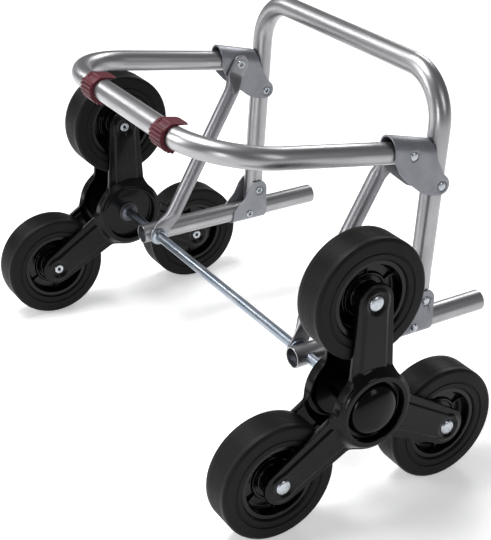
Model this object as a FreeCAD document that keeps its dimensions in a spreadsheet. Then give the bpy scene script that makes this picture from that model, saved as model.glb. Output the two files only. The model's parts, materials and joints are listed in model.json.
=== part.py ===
"""Folding chassis of a stair-climbing shopping trolley, in millimetres.

Everything is drawn about the wheel axle: x runs across the trolley, y along the
main tubes towards the handle end, z up.  Each finished piece is then moved so
that the origin lies on the floor under the middle of the whole chassis.
"""
import FreeCAD, Part
import math
import os
import Sketcher

Vector = FreeCAD.Vector
Rotation = FreeCAD.Rotation
doc = FreeCAD.newDocument("trolley_chassis")

# Driving sizes: alias, value, meaning.
SIZES = [
    ("gauge", 369, "between the axes of the two main tubes"),
    ("tube_dia", 25, "outside of the main, hoop and foot tubes"),
    ("tube_wall", 1.5, "wall of those tubes"),
    ("tube_front", 16.75, "main tube ahead of the axle"),
    ("tube_rear", 250, "main tube behind the axle"),
    ("socket_depth", 60, "reamed length at the handle end of a main tube"),
    ("socket_relief", 0.25, "reamed out of the bore radius there"),
    ("axle_dia", 12, "wheel axle"),
    ("axle_tail", 34, "axle beyond the wheel plane"),
    ("fit", 0.05, "radial clearance of a pin in its hole"),
    ("play", 0.35, "sideways gap between a pressed plate and a tube"),
    ("bracket_wall", 2, "sheet of the four brackets"),
    ("rivet_dia", 8, "shank of a frame rivet"),
    ("rivet_head", 11, "head of a frame rivet"),
    ("rivet_rise", 2.4, "height of that head"),
    ("lower_corner", 4, "corner radius of a lower bracket"),
    ("upper_corner", 2.5, "corner radius of an upper bracket"),
    ("fix_y", 142, "rivet that fixes a lower bracket, along the tube"),
    ("fix_z", -1, "the same rivet, up from the tube axis"),
    ("fold_y", 157.5, "pivot of the hoop, along the tube"),
    ("fold_z", 30.2, "pivot of the hoop, up"),
    ("link_y", 167.5, "pivot of an upper bracket on the hoop"),
    ("link_z", 172.3, "the same pivot, up"),
    ("foot_y", 125.8, "pivot of the foot frame"),
    ("foot_z", 216.2, "the same pivot, up"),
    ("leg_foot", 153.3, "where a hoop leg's axis meets the main tube's"),
    ("leg_tilt", 3.9, "degrees that the hoop leans to the rear"),
    ("leg_start", 10, "lower end of a hoop leg, along the leg"),
    ("leg_gap", 0.9, "rounded end of a hoop leg to the main tube"),
    ("hoop_height", 294.4, "axis of the hoop's top bar, along the leg"),
    ("hoop_bend", 57, "centre-line radius of the hoop's corners"),
    ("foot_slope", 9.2, "degrees that the foot frame rises to the front"),
    ("foot_reach", 246.6, "foot pivot to the axis of the front bar"),
    ("tail_gap", 0.565, "rear end of the foot frame to a hoop leg"),
    ("foot_bend", 85, "centre-line radius of the foot frame's corners"),
    ("roof_slope", 14.5, "degrees that an upper bracket's roof rises"),
    ("roof_gap", 0.4, "foot tube to roof at the rear end of the tube"),
    ("clip_width", 26, "length of a foot clip along the bar"),
    ("clip_wall", 3, "wall of a foot clip"),
    ("clip_tongue", 16, "flat tongue behind the top of a clip"),
    ("clip_lip", 7, "lip behind the bottom of a clip"),
    ("clip_left", 73, "left clip's middle, left of the centre"),
    ("clip_right", 96.5, "right clip's middle, right of the centre"),
    ("rib_dia", 5, "grip rib on a clip"),
    ("stay_dia", 19, "round part of a stay"),
    ("stay_wall", 1.5, "wall of a stay"),
    ("stay_flat", 3, "flattened end of a stay"),
    ("stay_pad", 13, "radius of a stay's rounded end"),
    ("stay_pinch", 36, "pivot of a stay to its round part"),
    ("stay_taper", 20, "length over which a stay is flattened"),
    ("stay_gap", 0.35, "bracket face to the flat end of a stay"),
    ("stay_inset", 0.6, "bracket face to the round part of a stay"),
    ("wheel_plane", 285, "middle of the wheels from the centre"),
    ("star_arm", 123.5, "axle to each wheel pin"),
    ("arm_end", 21.5, "radius of a star arm's end"),
    ("arm_root", 28.7, "half width of an arm at the axle"),
    ("star_disc", 46, "radius of the disc between the arms"),
    ("star_fillet", 20, "fillet between disc and arm"),
    ("star_wall", 2.5, "sheet of a star plate"),
    ("star_face", 25.5, "outer face of a plate from the wheel plane"),
    ("star_flange", 5, "depth of a plate's folded edge"),
    ("rib_root", 16.5, "half width of an arm's raised rib at the axle"),
    ("rib_end", 13.5, "half width of that rib at the pin"),
    ("rib_rise", 2.2, "height of that rib"),
    ("rib_round", 16.5, "radius of the rib's end"),
    ("rib_recess", 11, "flat seat of the pin's head in the rib"),
    ("dish_base", 50, "radius at the foot of the hub dish"),
    ("dish_rim", 42, "outer radius of the dish's rim"),
    ("dish_lip", 35.5, "inner radius of the dish's rim"),
    ("dish_rise", 11, "rim above the plate"),
    ("dish_floor", 27, "floor of the dish from the wheel plane"),
    ("dish_draft", 1, "slope of the dish's walls"),
    ("barrel_dia", 32, "hub barrel between the plates"),
    ("bush_dia", 19, "outside of a hub bush"),
    ("bush_flange", 28, "flange of a hub bush"),
    ("bush_lip", 2, "thickness of that flange"),
    ("bush_length", 22, "sleeve of a hub bush"),
    ("cap_dia", 62, "hub cap"),
    ("cap_rise", 14, "height of the hub cap"),
    ("cap_wall", 2, "wall of the hub cap"),
    ("pin_dia", 10, "shank of a wheel pin"),
    ("pin_head", 17.4, "outer head of a wheel pin"),
    ("pin_rise", 3, "height of that head"),
    ("pin_tail", 12.4, "inner end of a wheel pin"),
    ("pin_stub", 2.4, "length of that end"),
    ("wheel_dia", 135, "tyre"),
    ("tyre_width", 39, "tyre"),
    ("tyre_bore", 88, "seat of the tyre on its rim"),
    ("tyre_round", 7, "rounding of the tyre's shoulders"),
    ("groove_dia", 104, "groove in the tyre's side"),
    ("groove_size", 3, "width of that groove"),
    ("rim_lip", 78, "inside of the rim's lip"),
    ("rim_width", 33, "rim across its lip"),
    ("rim_web", 8, "web of the rim"),
    ("rim_hub", 30, "hub of the rim"),
    ("sleeve_dia", 16, "wheel bush"),
    ("end_float", 0.6, "wheel hub to star plate on each side"),
    ("washer_dia", 22, "washer and clip on the axle"),
    ("washer_gap", 0.3, "washer to stay"),
    ("clip_ring", 3.2, "thickness of a push-on axle clip"),
]

sheet = doc.addObject("Spreadsheet::Sheet", "dims")
for row, (alias, value, meaning) in enumerate(SIZES, start=1):
    sheet.set(f"A{row}", meaning)
    sheet.set(f"B{row}", str(value))
    sheet.setAlias(f"B{row}", alias)
doc.recompute()

# Places worked out from the sheet, as expressions.
HALF = "(dims.gauge / 2)"
TUBE = "(dims.tube_dia / 2)"
CHEEK = f"({TUBE} + dims.play)"
FLANK = f"({TUBE} + dims.play + dims.bracket_wall)"
RIVET = "(dims.rivet_dia / 2)"
AXLE = "(dims.axle_dia / 2)"
LIFT = "(dims.star_arm * sin(30) + dims.wheel_dia / 2)"
SHIFT = "((dims.star_arm * cos(30) + dims.wheel_dia / 2 - dims.tube_rear) / 2)"
BAR_Y = "(dims.foot_y - dims.foot_reach * cos(dims.foot_slope))"
BAR_Z = "(dims.foot_z + dims.foot_reach * sin(dims.foot_slope))"
LEG_FRONT = (f"(dims.leg_foot + dims.foot_z * tan(dims.leg_tilt)"
             f" - {TUBE} / cos(dims.leg_tilt))")
FOOT_TAIL = (f"(({LEG_FRONT} - dims.foot_y - {TUBE} * sin(dims.foot_slope) - dims.tail_gap)"
             f" / cos(dims.foot_slope))")
STAY_LENGTH = "sqrt(dims.foot_y ^ 2 + dims.foot_z ^ 2)"
STAY_LEAN = "atan(dims.foot_y / dims.foot_z)"
PLATE_IN = "(dims.star_face - dims.star_wall)"
SIDES = {"left": -1, "right": 1}
ARMS = {"top": 90, "front": 210, "rear": 330}
REACH = "1000"    # longer than anything that a tool has to pass
BITE = "2"        # overlap of two shapes that are fused into one

pieces = []


# ---------------------------------------------------------------- helpers
def number(text):
    """Value of an expression on the sheet."""
    value = sheet.evalExpression(text)
    return float(getattr(value, "Value", value))


def bound(kind, **sizes):
    """A document object whose properties follow expressions."""
    item = doc.addObject(kind, kind.split("::")[1].lower())
    for name, text in sizes.items():
        item.setExpression(name, text)
    return item


def at(item, x="0", y="0", z="0", turn=Rotation(), angle=None):
    """Place an object; angle is an expression for the rotation about turn's axis."""
    item.Placement = FreeCAD.Placement(Vector(), turn)
    for axis, text in zip("xyz", (x, y, z)):
        if text != "0":
            item.setExpression(f"Placement.Base.{axis}", text)
    if angle:
        item.setExpression("Placement.Rotation.Angle", angle)
    return item


ACROSS = Rotation(Vector(0, 1, 0), 90)
ALONG = Rotation(Vector(1, 0, 0), -90)
UPRIGHT = Rotation()
ABOUT_X = Rotation(Vector(1, 0, 0), 1)


def rod(radius, length, x="0", y="0", z="0", turn=ACROSS):
    """Cylinder that starts at the point and runs across, along or up."""
    return at(bound("Part::Cylinder", Radius=radius, Height=length), x, y, z, turn)


def pin(side, radius, near, far, y="0", z="0"):
    """Cylinder across the trolley between two distances from its centre."""
    start = near if side > 0 else far
    return rod(radius, f"({far}) - ({near})", f"{side} * ({start})", y, z)


def block(length, width, height, x, y, z):
    return at(bound("Part::Box", Length=length, Width=width, Height=height), x, y, z)


def fuse(*items):
    item = doc.addObject("Part::MultiFuse", "fuse")
    item.Shapes = list(items)
    item.Refine = True
    return item


def cut(base, *tools):
    item = doc.addObject("Part::Cut", "cut")
    item.Base = base
    item.Tool = tools[0] if len(tools) == 1 else fuse(*tools)
    return item


def common(*items):
    item = doc.addObject("Part::MultiCommon", "common")
    item.Shapes = list(items)
    return item


def group(*items):
    """Several separate solids in one piece."""
    item = doc.addObject("Part::Compound", "group")
    item.Links = list(items)
    return item


def piece(label, item, x="0", y="0", z="0", turn=None):
    """Finish a piece: name it and move it from the axle to the floor frame."""
    if turn is not None:
        item.Placement = FreeCAD.Placement(Vector(), turn)
    if x != "0":
        item.setExpression("Placement.Base.x", x)
    item.setExpression("Placement.Base.y", f"{SHIFT} + {y}")
    item.setExpression("Placement.Base.z", f"{LIFT} + {z}")
    item.Label = label
    pieces.append(item)
    return item


def tied(sketch, kind, *where):
    """Add a constraint whose last item is an expression on the sheet."""
    spot = sketch.addConstraint(Sketcher.Constraint(kind, *where[:-1], number(where[-1])))
    sketch.setExpression(f"Constraints[{spot}]", where[-1])


def outline(body, role, corners):
    """Closed sketch through corners; each coordinate is bound to an expression."""
    sketch = body.newObject("Sketcher::SketchObject", "outline")
    planes = [plane for plane in body.Origin.OriginFeatures if plane.Role == role]
    sketch.AttachmentSupport = (planes[0], "")
    sketch.MapMode = "FlatFace"
    points = [Vector(number(u), number(v), 0) for u, v in corners]
    count = len(points)
    for index in range(count):
        sketch.addGeometry(Part.LineSegment(points[index], points[(index + 1) % count]))
    for index in range(count):
        join = Sketcher.Constraint("Coincident", index, 2, (index + 1) % count, 1)
        sketch.addConstraint(join)
    for index, (u, v) in enumerate(corners):
        tied(sketch, "DistanceX", -1, 1, index, 1, u)
        tied(sketch, "DistanceY", -1, 1, index, 1, v)
    return sketch


def profile(corners, width, middle="0"):
    """Body padded both ways across x from an outline in y and z."""
    body = doc.addObject("PartDesign::Body", "profile")
    sketch = outline(body, "YZ_Plane", corners)
    pad = body.newObject("PartDesign::Pad", "pad")
    pad.Profile = sketch
    pad.setExpression("Length", width)
    pad.Midplane = True
    return at(body, middle)


def turned(corners):
    """Body turned about the x axis from an outline in x and radius."""
    body = doc.addObject("PartDesign::Body", "turned")
    sketch = outline(body, "XY_Plane", corners)
    spin = body.newObject("PartDesign::Revolution", "spin")
    spin.Profile = sketch
    spin.ReferenceAxis = (sketch, ["H_Axis"])
    spin.Angle = 360
    return body


def rounded(item, radius, chosen):
    """Fillet the edges that chosen picks from a finished shape."""
    doc.recompute()
    size = number(radius)
    edges = [index for index, edge in enumerate(item.Shape.Edges, start=1) if chosen(edge)]
    fillet = doc.addObject("Part::Fillet", "fillet")
    fillet.Base = item
    fillet.Edges = [(index, size, size) for index in edges]
    return fillet


def crosswise(edge):
    """A straight edge that runs across the trolley."""
    if edge.Curve.TypeId != "Part::GeomLine":
        return False
    return abs(edge.Curve.Direction.x) > 0.999


def dome(radius, rise, x, facing, y="0", z="0"):
    """Round cap of a ball, standing on a flat at x and facing +1 or -1 across."""
    ball = f"(({radius}) ^ 2 + ({rise}) ^ 2) / (2 * ({rise}))"
    sphere = at(bound("Part::Sphere", Radius=ball),
                f"{x} + {facing} * (({rise}) - {ball})", y, z)
    start = x if facing > 0 else f"{x} - ({rise})"
    return common(sphere, rod(radius, rise, start, y, z))


def rivet(side, near, far, y, z, inner_head=True):
    """Frame rivet between two distances from the centre, with round heads."""
    head = "dims.rivet_head / 2"
    rise = "dims.rivet_rise"
    parts = [pin(side, RIVET, near, far, y, z),
             dome(head, rise, f"{side} * ({far})", side, y, z)]
    if inner_head:
        parts.append(dome(head, rise, f"{side} * ({near})", -side, y, z))
    return fuse(*parts)


def through(radius, y="0", z="0"):
    """Round tool right across the trolley."""
    return rod(radius, f"2 * {REACH}", f"-{REACH}", y, z)


def hole(y, z, radius=RIVET):
    """Tool for the hole of a pin, with its clearance."""
    return through(f"{radius} + dims.fit", y, z)


def saddle(middle, way):
    """Long channel of sheet that fits a tube, open downwards (way -1) or upwards (1)."""
    shapes = []
    for radius in (FLANK, CHEEK):
        low = "0" if way > 0 else f"-{REACH}"
        shapes.append(fuse(
            rod(radius, f"2 * {REACH}", middle, f"-{REACH}", "0", ALONG),
            block(f"2 * {radius}", f"2 * {REACH}", REACH,
                  f"{middle} - {radius}", f"-{REACH}", low)))
    return cut(*shapes)


# ------------------------------------------------------- main tubes and axle
def main_tube(name, side):
    """Open aluminium tube, cross-drilled for the axle and the bracket rivet."""
    middle = f"{side} * {HALF}"
    length = "dims.tube_front + dims.tube_rear"
    bore = f"{TUBE} - dims.tube_wall"
    tube = cut(rod(TUBE, length, middle, "-dims.tube_front", "0", ALONG),
               rod(bore, length, middle, "-dims.tube_front", "0", ALONG),
               rod(f"{bore} + dims.socket_relief", "dims.socket_depth", middle,
                   "dims.tube_rear - dims.socket_depth", "0", ALONG),
               hole("0", "0", AXLE),
               hole("dims.fix_y", "dims.fix_z"))
    piece(f"{name}_main_tube", tube)


def axle_parts():
    """Through axle, with washers at the stays and push-on clips."""
    reach = "(dims.wheel_plane + dims.axle_tail)"
    piece("axle_rod", rod(AXLE, f"2 * {reach}", f"-{reach}"))
    washers = []
    clips = []
    collars = []
    for side in SIDES.values():
        inside = f"({HALF} - {FLANK} - dims.stay_gap)"
        clip_near = f"({inside} - dims.stay_flat - dims.washer_gap - dims.clip_ring)"
        hub_end = "(dims.wheel_plane - dims.dish_floor - dims.bush_lip - dims.washer_gap)"
        end_face = "(dims.wheel_plane + dims.dish_floor + dims.bush_lip + dims.washer_gap)"
        ring = "dims.washer_dia / 2"
        for store, near, far in (
                (washers, f"{inside} + dims.washer_gap", f"{HALF} - {TUBE}"),
                (clips, clip_near, f"{clip_near} + dims.clip_ring"),
                (collars, f"{hub_end} - dims.clip_ring", hub_end),
                (collars, end_face, f"{end_face} + dims.clip_ring")):
            store.append(cut(pin(side, ring, near, far),
                             pin(side, f"{AXLE} + dims.fit / 2", near, far)))
    piece("stay_washers", group(*washers))
    piece("stay_clips", group(*clips))
    piece("hub_clips", group(*collars))


# ------------------------------------------------------------- lower brackets
def lower_bracket(name, side):
    """Saddle pressed round the underside of a main tube; carries the hoop pivot."""
    middle = f"{side} * {HALF}"
    corners = [("dims.fix_y - 25", f"-{FLANK} - 4"),
               ("dims.fix_y - 25", "4"),
               ("dims.fix_y - 8", "21"),
               ("dims.fold_y - 15.5", "dims.fold_z + 6"),
               ("dims.fold_y - 9", "dims.fold_z + 13.5"),
               ("dims.fold_y + 6", "dims.fold_z + 13.5"),
               ("dims.fold_y + 11.5", "dims.fold_z + 5"),
               ("dims.fold_y + 11.5", f"-{FLANK} - 4")]
    side_view = rounded(profile(corners, f"2 * {FLANK} + {BITE}", middle),
                        "dims.lower_corner", crosswise)
    bracket = cut(common(side_view, saddle(middle, 1)),
                  hole("dims.fix_y", "dims.fix_z"),
                  hole("dims.fold_y", "dims.fold_z"))
    piece(f"{name}_lower_bracket", bracket)


def lower_rivets():
    """Rivets through the lower brackets: one fixes each, one is the hoop pivot."""
    near = f"{HALF} - {FLANK}"
    far = f"{HALF} + {FLANK}"
    piece("hoop_pivot_rivets",
          group(*[rivet(side, near, far, "dims.fold_y", "dims.fold_z")
                  for side in SIDES.values()]))
    piece("bracket_rivets",
          group(*[rivet(side, near, far, "dims.fix_y", "dims.fix_z")
                  for side in SIDES.values()]))


# ---------------------------------------------------------------- bent tubes
def bent_tube(start, height, bend):
    """U of round tube in the x-z plane: two legs, two quarter bends, one cross bar."""
    body = doc.addObject("PartDesign::Body", "bent_tube")
    planes = {plane.Role: plane for plane in body.Origin.OriginFeatures}
    path = body.newObject("Sketcher::SketchObject", "path")
    path.AttachmentSupport = (planes["XZ_Plane"], "")
    path.MapMode = "FlatFace"
    half, low, top, radius = (number(text) for text in (HALF, start, height, bend))
    bar = half - radius
    up = Vector(0, 0, 1)
    path.addGeometry(Part.LineSegment(Vector(-half, low, 0), Vector(-half, top - radius, 0)))
    path.addGeometry(Part.ArcOfCircle(Part.Circle(Vector(-bar, top - radius, 0), up, radius),
                                      math.pi / 2, math.pi))
    path.addGeometry(Part.LineSegment(Vector(-bar, top, 0), Vector(bar, top, 0)))
    path.addGeometry(Part.ArcOfCircle(Part.Circle(Vector(bar, top - radius, 0), up, radius),
                                      0, math.pi / 2))
    path.addGeometry(Part.LineSegment(Vector(half, top - radius, 0), Vector(half, low, 0)))
    for joint in ((0, 2, 1, 2), (1, 1, 2, 1), (2, 2, 3, 2), (3, 1, 4, 1)):
        path.addConstraint(Sketcher.Constraint("Tangent", *joint))
    path.addConstraint(Sketcher.Constraint("Vertical", 0))
    path.addConstraint(Sketcher.Constraint("Vertical", 4))
    path.addConstraint(Sketcher.Constraint("Equal", 1, 3))
    tied(path, "Radius", 1, bend)
    tied(path, "DistanceX", -1, 1, 0, 1, f"-{HALF}")
    tied(path, "DistanceX", -1, 1, 4, 2, HALF)
    tied(path, "DistanceY", -1, 1, 0, 1, start)
    tied(path, "DistanceY", -1, 1, 4, 2, start)
    tied(path, "DistanceY", -1, 1, 2, 1, height)
    ring = body.newObject("Sketcher::SketchObject", "ring")
    ring.AttachmentSupport = (planes["XY_Plane"], "")
    ring.MapMode = "FlatFace"
    ring.setExpression("AttachmentOffset.Base.z", start)
    for index, text in enumerate((TUBE, f"{TUBE} - dims.tube_wall")):
        ring.addGeometry(Part.Circle(Vector(-half, 0, 0), up, number(text)))
        tied(ring, "Radius", index, text)
        tied(ring, "DistanceX", -1, 1, index, 3, f"-{HALF}")
        ring.addConstraint(Sketcher.Constraint("PointOnObject", index, 3, -1))
    pipe = body.newObject("PartDesign::AdditivePipe", "pipe")
    pipe.Profile = ring
    pipe.Spine = path
    return body


def platform_hoop():
    """Hoop that carries the load; its legs turn on the lower brackets."""
    hoop = at(bent_tube("dims.leg_start", "dims.hoop_height", "dims.hoop_bend"),
              "0", "dims.leg_foot", "0", ABOUT_X, "-dims.leg_tilt")
    below = block(f"2 * {REACH}", "2 * dims.tube_dia", "dims.fold_z",
                  f"-{REACH}", "dims.fold_y - dims.tube_dia", "0")
    round_end = through(f"dims.fold_z - {TUBE} - dims.leg_gap", "dims.fold_y", "dims.fold_z")
    piece("platform_hoop", cut(hoop, cut(below, round_end),
                               hole("dims.fold_y", "dims.fold_z"),
                               hole("dims.link_y", "dims.link_z")))


def foot_frame():
    """U-shaped foot that hangs between the upper brackets."""
    frame = at(bent_tube(f"-{FOOT_TAIL}", "dims.foot_reach", "dims.foot_bend"),
               "0", "dims.foot_y", "dims.foot_z", ABOUT_X, "90 - dims.foot_slope")
    piece("foot_tube", cut(frame, hole("dims.foot_y", "dims.foot_z")))
    return frame


def foot_clip(name, middle, frame):
    """Sprung plastic clip round the front bar, ribbed at the front and open behind."""
    shell_start, shell_sweep = 160, 215
    rib_start, rib_step, rib_count = 150, 21, 6
    tongue_slope, lip_slope = -9, -6
    start = f"({middle}) - dims.clip_width / 2"
    outer = f"({TUBE} + dims.clip_wall)"
    sector = bound("Part::Cylinder", Radius=outer, Height="dims.clip_width")
    sector.Angle = shell_sweep
    shell = at(sector, start, BAR_Y, BAR_Z,
               ACROSS * Rotation(Vector(0, 0, 1), shell_start))
    tongue = at(bound("Part::Box", Length="dims.clip_width", Width="dims.clip_tongue",
                      Height="dims.clip_wall"),
                start, f"{BAR_Y} + {BITE}", f"{BAR_Z} + {TUBE} + dims.fit",
                Rotation(Vector(1, 0, 0), tongue_slope))
    lip = at(bound("Part::Box", Length="dims.clip_width", Width="dims.clip_lip",
                   Height="dims.clip_wall"),
             start, f"{BAR_Y} + {BITE}", f"{BAR_Z} - {outer}",
             Rotation(Vector(1, 0, 0), lip_slope))
    ribs = []
    for index in range(rib_count):
        angle = rib_start + rib_step * index
        ribs.append(rod("dims.rib_dia / 2", "dims.clip_width", start,
                        f"{BAR_Y} + {outer} * cos({angle})",
                        f"{BAR_Z} + {outer} * sin({angle})"))
    clip = cut(fuse(shell, tongue, lip, *ribs),
               rod(f"{TUBE} + dims.fit", "dims.clip_width", start, BAR_Y, BAR_Z), frame)
    piece(name, clip)


# ------------------------------------------------------------- upper brackets
def upper_bracket(name, side):
    """Roofed bracket that joins hoop, foot frame and stay."""
    middle = f"{side} * {HALF}"
    corners = [("dims.foot_y - 31", "dims.foot_z + 40"),
               ("dims.foot_y - 25.5", "dims.foot_z - 2"),
               ("dims.foot_y - 19", "dims.foot_z - 16"),
               ("dims.foot_y - 8", "dims.foot_z - 28.5"),
               ("dims.foot_y + 13", "dims.link_z - 2"),
               ("dims.link_y - 15", "dims.link_z - 8"),
               ("dims.link_y - 1", "dims.link_z - 10.5"),
               ("dims.link_y + 8", "dims.link_z - 7.5"),
               ("dims.link_y + 10.5", "dims.link_z + 1"),
               ("dims.link_y + 8", "dims.link_z + 8"),
               ("dims.link_y + 1", "dims.link_z + 15"),
               ("dims.link_y - 8", "dims.foot_z - 12"),
               ("dims.foot_y + 26", "dims.foot_z + 14"),
               ("dims.foot_y + 24", "dims.foot_z + 40")]
    side_view = rounded(profile(corners, f"2 * {FLANK} + {BITE}", middle),
                        "dims.upper_corner", crosswise)
    rear = f"(dims.foot_y + {FOOT_TAIL} * cos(dims.foot_slope))"
    ridge = f"(dims.foot_z - {FOOT_TAIL} * sin(dims.foot_slope) + dims.roof_gap)"
    shell = at(saddle(middle, -1), "0", rear, ridge, ABOUT_X, "-dims.roof_slope")
    bracket = cut(common(side_view, shell),
                  hole("dims.foot_y", "dims.foot_z"),
                  hole("dims.link_y", "dims.link_z"))
    piece(f"{name}_upper_bracket", bracket)


def upper_rivets():
    """Pivots of the brackets on the hoop, and of the foot frame in the brackets."""
    near = f"{HALF} - {FLANK}"
    far = f"{HALF} + {FLANK}"
    piece("link_rivets",
          group(*[rivet(side, near, far, "dims.link_y", "dims.link_z")
                  for side in SIDES.values()]))
    piece("foot_rivets",
          group(*[rivet(side, near, far, "dims.foot_y", "dims.foot_z", False)
                  for side in SIDES.values()]))


# ---------------------------------------------------------------------- stays
def stay(name, side):
    """Tube with flattened ends, drawn upright and then leaned to the foot pivot."""
    face = f"({HALF} - {FLANK} - dims.stay_gap)"
    flat_in = f"({face} - dims.stay_flat)"
    axis = f"({HALF} - {FLANK} - dims.stay_inset - dims.stay_dia / 2)"
    start = f"{side} * {flat_in}" if side > 0 else f"-{face}"
    ends = []
    for middle in ("0", STAY_LENGTH):
        ends.append(rod("dims.stay_pad", "dims.stay_flat", start, "0", middle))
    reach = f"(dims.stay_pinch - dims.stay_taper + {BITE})"
    for z in ("0", f"{STAY_LENGTH} - {reach}"):
        ends.append(block("dims.stay_flat", "2 * dims.stay_pad", reach,
                          start, "-dims.stay_pad", z))
    low = "dims.stay_pinch"
    high = f"({STAY_LENGTH} - dims.stay_pinch)"
    tube = cut(rod("dims.stay_dia / 2", f"{high} - {low}", f"{side} * {axis}", "0",
                   low, UPRIGHT),
               rod("dims.stay_dia / 2 - dims.stay_wall", f"{high} - {low}",
                   f"{side} * {axis}", "0", low, UPRIGHT))
    tapers = []
    middle_flat = f"{side} * ({face} - dims.stay_flat / 2)"
    for z, way in ((low, -1), (high, 1)):
        round_end = at(bound("Part::Ellipse", MajorRadius="dims.stay_dia / 2",
                             MinorRadius="dims.stay_dia / 2"),
                       f"{side} * {axis}", "0", z, Rotation(Vector(0, 0, 1), 90))
        flat_end = at(bound("Part::Ellipse", MajorRadius="dims.stay_pad",
                            MinorRadius="dims.stay_flat / 2"),
                      middle_flat, "0", f"{z} + {way} * dims.stay_taper",
                      Rotation(Vector(0, 0, 1), 90))
        loft = doc.addObject("Part::Loft", "taper")
        loft.Sections = [round_end, flat_end]
        loft.Solid = True
        loft.Ruled = True
        tapers.append(loft)
    blank = fuse(tube, *ends, *tapers)
    drilled = cut(blank, hole("0", "0", AXLE), hole("0", STAY_LENGTH))
    leaned = piece(f"{name}_stay", drilled, turn=ABOUT_X)
    leaned.setExpression("Placement.Rotation.Angle", f"-{STAY_LEAN}")


def stay_rivets():
    """Short rivet in the upper end of each stay."""
    face = f"({HALF} - {FLANK} - dims.stay_gap)"
    items = []
    for side in SIDES.values():
        flat_in = f"({face} - dims.stay_flat)"
        items.append(fuse(
            pin(side, RIVET, flat_in, face, "dims.foot_y", "dims.foot_z"),
            dome("dims.rivet_head / 2", "dims.rivet_rise", f"{side} * {flat_in}",
                 -side, "dims.foot_y", "dims.foot_z")))
    piece("stay_rivets", group(*items))


# ---------------------------------------------------------------------- stars
def arm_spots():
    """Centres of the three wheel pins, in y and z."""
    return [(f"dims.star_arm * cos({angle})", f"dims.star_arm * sin({angle})")
            for angle in ARMS.values()]


def star_blank(inset, depth, back):
    """Three-armed outline, smaller all round by inset, from back to the face."""
    disc = f"(dims.star_disc - {inset})"
    end = f"(dims.arm_end - {inset})"
    root = f"(dims.arm_root - {inset})"
    slant = f"cos(asin(({root} - {end}) / dims.star_arm))"
    parts = [rod(disc, depth, back)]
    for spot, angle in zip(arm_spots(), ARMS.values()):
        arm = bound("Part::Wedge", Ymin="0", Ymax="dims.star_arm", Zmin="0",
                    Zmax=depth, Z2min="0", Z2max=depth,
                    Xmin=f"-{root} / {slant}", Xmax=f"{root} / {slant}",
                    X2min=f"-{end} / {slant}", X2max=f"{end} / {slant}")
        parts.append(at(arm, back, "0", "0", arm_turn(angle)))
        parts.append(rod(end, depth, back, *spot))
    return fuse(*parts)


def arm_turn(angle):
    """Turn a wedge that grows along y, thick along z, into an arm thick along x."""
    stand = Rotation(Vector(0, 0, 1), Vector(1, 0, 0))
    return Rotation(Vector(1, 0, 0), angle) * stand


def star_web(inset, depth, back):
    """The blank with its inner corners rounded."""
    radius = number(f"dims.star_disc - {inset}")

    def inner_corner(edge):
        spot = edge.Vertexes[0].Point
        return crosswise(edge) and abs((spot.y ** 2 + spot.z ** 2) ** 0.5 - radius) < 0.01

    return rounded(star_blank(inset, depth, back), f"dims.star_fillet + {inset}",
                   inner_corner)


def star_plate(label, place_x, turn):
    """Pressed steel star: flanged edge, ribbed arms and a dished hub."""
    depth = "dims.star_flange"
    opening = "dims.dish_base - dims.star_wall"
    pan = cut(star_web("0", depth, f"dims.star_face - {depth}"),
              star_web("dims.star_wall", f"{depth} - dims.star_wall",
                       f"dims.star_face - {depth}"),
              through(opening))
    ribs = []
    for spot, angle in zip(arm_spots(), ARMS.values()):
        rib = bound("Part::Wedge", Ymin=f"{opening} - {BITE}", Ymax="dims.star_arm",
                    Zmin="0", Zmax="dims.rib_rise", Z2min="0", Z2max="dims.rib_rise",
                    Xmin="-dims.rib_root", Xmax="dims.rib_root",
                    X2min="-dims.rib_end", X2max="dims.rib_end")
        ribs.append(cut(fuse(at(rib, "dims.star_face", "0", "0", arm_turn(angle)),
                             rod("dims.rib_round", "dims.rib_rise", "dims.star_face",
                                 *spot)),
                        through("dims.rib_recess", *spot),
                        through(opening)))
    rim = "(dims.star_face + dims.dish_rise)"
    dish = turned([("dims.star_face", "dims.dish_base"),
                   (rim, "dims.dish_rim"),
                   (rim, "dims.dish_lip"),
                   ("dims.dish_floor", "dims.dish_lip - dims.dish_draft"),
                   ("dims.dish_floor", "dims.bush_dia / 2 + dims.fit"),
                   ("dims.dish_floor - dims.star_wall", "dims.bush_dia / 2 + dims.fit"),
                   ("dims.dish_floor - dims.star_wall",
                    "dims.dish_lip + dims.star_wall - dims.dish_draft"),
                   (f"{rim} - dims.star_wall", "dims.dish_lip + dims.star_wall"),
                   (f"{rim} - dims.star_wall", "dims.dish_rim - dims.dish_draft"),
                   (PLATE_IN, f"{opening} - dims.dish_draft / 2"),
                   (PLATE_IN, "dims.dish_base")])
    holes = [hole(*spot, "dims.pin_dia / 2") for spot in arm_spots()]
    piece(label, cut(fuse(pan, *ribs, dish), *holes), place_x, turn=turn)


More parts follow.
